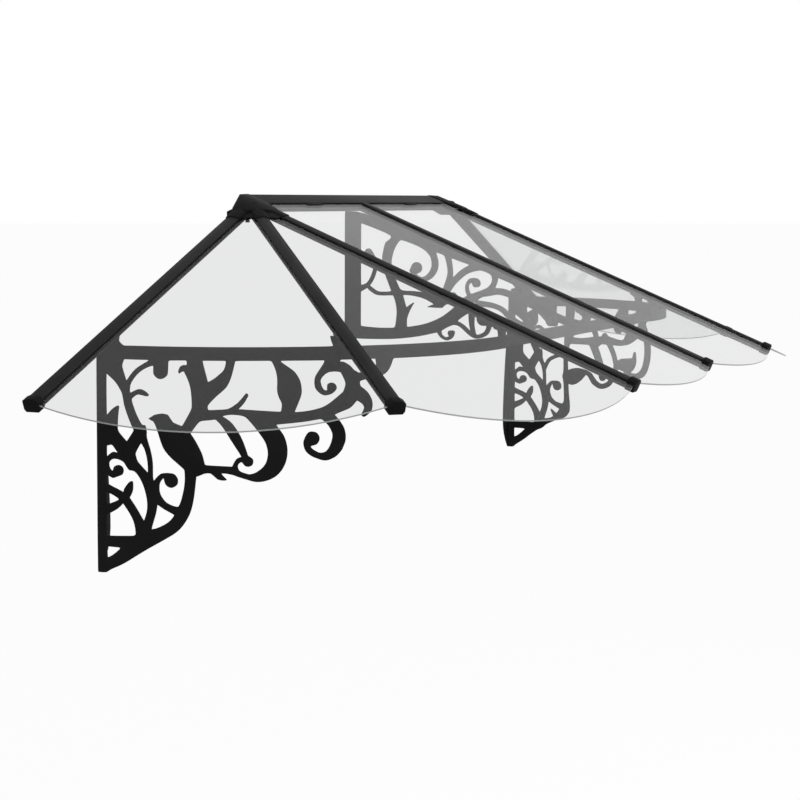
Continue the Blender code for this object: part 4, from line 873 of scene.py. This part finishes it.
def seen_rays(tree):
    """1 for what the camera, a mirror or the clear sheets look at, and 0 for plain lighting."""
    path = node(tree, "ShaderNodeLightPath", (-600, 0))
    seen = node(tree, "ShaderNodeMath", (-300, 100), _operation="MAXIMUM")
    link(tree, path.outputs["Is Camera Ray"], seen.inputs[0])
    link(tree, path.outputs["Is Glossy Ray"], seen.inputs[1])
    through = node(tree, "ShaderNodeMath", (-100, 0), _operation="MAXIMUM")
    link(tree, seen.outputs["Value"], through.inputs[0])
    link(tree, path.outputs["Is Transmission Ray"], through.inputs[1])
    return through.outputs["Value"]


def make_floor(stage):
    bpy.ops.object.select_all(action="DESELECT")
    bpy.ops.mesh.primitive_plane_add(size=400.0, location=(0.0, -0.5, -stage.floor_drop))
    floor = bpy.context.object
    floor.name = "floor"
    bpy.ops.object.transform_apply(location=True, rotation=True, scale=True)
    material, tree = new_material("pale_floor")
    output = node(tree, "ShaderNodeOutputMaterial", (900, 0))
    matt = node(tree, "ShaderNodeBsdfPrincipled", (300, 100))
    matt.inputs["Base Color"].default_value = (*stage.floor_grey, 1.0)
    matt.inputs["Roughness"].default_value = 0.9
    matt.inputs["Specular IOR Level"].default_value = 0.1
    glow = node(tree, "ShaderNodeEmission", (300, -200), Strength=1.0)
    glow.inputs["Color"].default_value = (1.0, 1.0, 1.0, 1.0)
    share = node(tree, "ShaderNodeMath", (100, 0), _operation="MULTIPLY")
    share.inputs[1].default_value = stage.floor_white
    link(tree, seen_rays(tree), share.inputs[0])
    blend = node(tree, "ShaderNodeMixShader", (600, 0))
    link(tree, share.outputs["Value"], blend.inputs["Fac"])
    link(tree, matt.outputs["BSDF"], blend.inputs[1])
    link(tree, glow.outputs["Emission"], blend.inputs[2])
    link(tree, blend.outputs["Shader"], output.inputs["Surface"])
    floor.data.materials.append(material)


def make_sky(stage):
    """Even grey light on the object, and plain white where the camera or a mirror looks."""
    world = bpy.data.worlds.new("even_sky")
    bpy.context.scene.world = world
    world.use_nodes = True
    tree = world.node_tree
    tree.nodes.clear()
    output = node(tree, "ShaderNodeOutputWorld", (900, 0))
    light = node(tree, "ShaderNodeBackground", (200, 150), Strength=stage.sky_strength)
    white = node(tree, "ShaderNodeBackground", (200, -50), Strength=1.0)
    for shader in (light, white):
        shader.inputs["Color"].default_value = (1.0, 1.0, 1.0, 1.0)
    blend = node(tree, "ShaderNodeMixShader", (600, 0))
    link(tree, seen_rays(tree), blend.inputs["Fac"])
    link(tree, light.outputs["Background"], blend.inputs[1])
    link(tree, white.outputs["Background"], blend.inputs[2])
    link(tree, blend.outputs["Shader"], output.inputs["Surface"])


def make_lamps(stage):
    for name, watts, size, place in (("key_lamp", stage.key_watts, 3.0, (-3.2, -3.4, 2.6)),
                                     ("fill_lamp", stage.fill_watts, 3.0, (3.6, -2.8, 1.6))):
        data = bpy.data.lights.new(name, "AREA")
        data.energy = watts
        data.shape = "SQUARE"
        data.size = size
        lamp = bpy.data.objects.new(name, data)
        bpy.context.scene.collection.objects.link(lamp)
        lamp.location = place
        aim = Vector((0.0, -0.4, -0.25)) - Vector(place)
        lamp.rotation_euler = aim.to_track_quat("-Z", "Y").to_euler()


def make_camera(stage):
    data = bpy.data.cameras.new("camera")
    camera = bpy.data.objects.new("camera", data)
    bpy.context.scene.collection.objects.link(camera)
    heading, pitch = stage.camera_heading, stage.camera_pitch
    forward = Vector((math.cos(heading) * math.cos(pitch), math.sin(heading) * math.cos(pitch),
                      math.sin(pitch)))
    right = Vector((math.sin(heading), -math.cos(heading), 0.0))
    upward = right.cross(forward)
    matrix = Matrix((right, upward, -forward)).transposed().to_4x4()
    matrix.translation = stage.camera_place
    camera.matrix_world = matrix
    data.sensor_fit = "HORIZONTAL"
    data.sensor_width = 36.0
    data.lens = stage.focal_share * 36.0
    data.shift_x = 0.5 - stage.centre_x
    data.shift_y = stage.centre_y - 0.5
    data.clip_start = 0.05
    data.clip_end = 200.0
    bpy.context.scene.camera = camera


class CANOPY_PT_panel(Panel):
    """Lists the canopy's pieces in the sidebar."""

    bl_idname = "CANOPY_PT_panel"
    bl_label = "Door canopy"
    bl_space_type = "VIEW_3D"
    bl_region_type = "UI"
    bl_category = "Canopy"

    def draw(self, context):
        layout = self.layout
        for group in settings():
            column = layout.column(align=True)
            for name in group.bl_rna.properties.keys():
                if name not in ("rna_type", "name"):
                    column.prop(group, name)
        for operator in OPERATORS:
            layout.operator(operator.bl_idname)


OPERATORS = (CANOPY_OT_bars, CANOPY_OT_caps, CANOPY_OT_hubs, CANOPY_OT_panels, CANOPY_OT_plates,
             CANOPY_OT_screws, CANOPY_OT_stage)
CLASSES = (CANOPY_PG_finishes, CANOPY_PG_sizes, CANOPY_PG_stage, *OPERATORS, CANOPY_PT_panel)


def register():
    for cls in CLASSES:
        bpy.utils.register_class(cls)
    bpy.types.Scene.canopy_finishes = PointerProperty(type=CANOPY_PG_finishes)
    bpy.types.Scene.canopy_sizes = PointerProperty(type=CANOPY_PG_sizes)
    bpy.types.Scene.canopy_stage = PointerProperty(type=CANOPY_PG_stage)


def unregister():
    del bpy.types.Scene.canopy_stage
    del bpy.types.Scene.canopy_sizes
    del bpy.types.Scene.canopy_finishes
    for cls in reversed(CLASSES):
        bpy.utils.unregister_class(cls)


def main():
    register()
    bpy.ops.canopy.bars()
    bpy.ops.canopy.caps()
    bpy.ops.canopy.hubs()
    bpy.ops.canopy.panels()
    bpy.ops.canopy.plates()
    bpy.ops.canopy.screws()
    bpy.ops.canopy.stage()


if __name__ == "__main__":
    main()
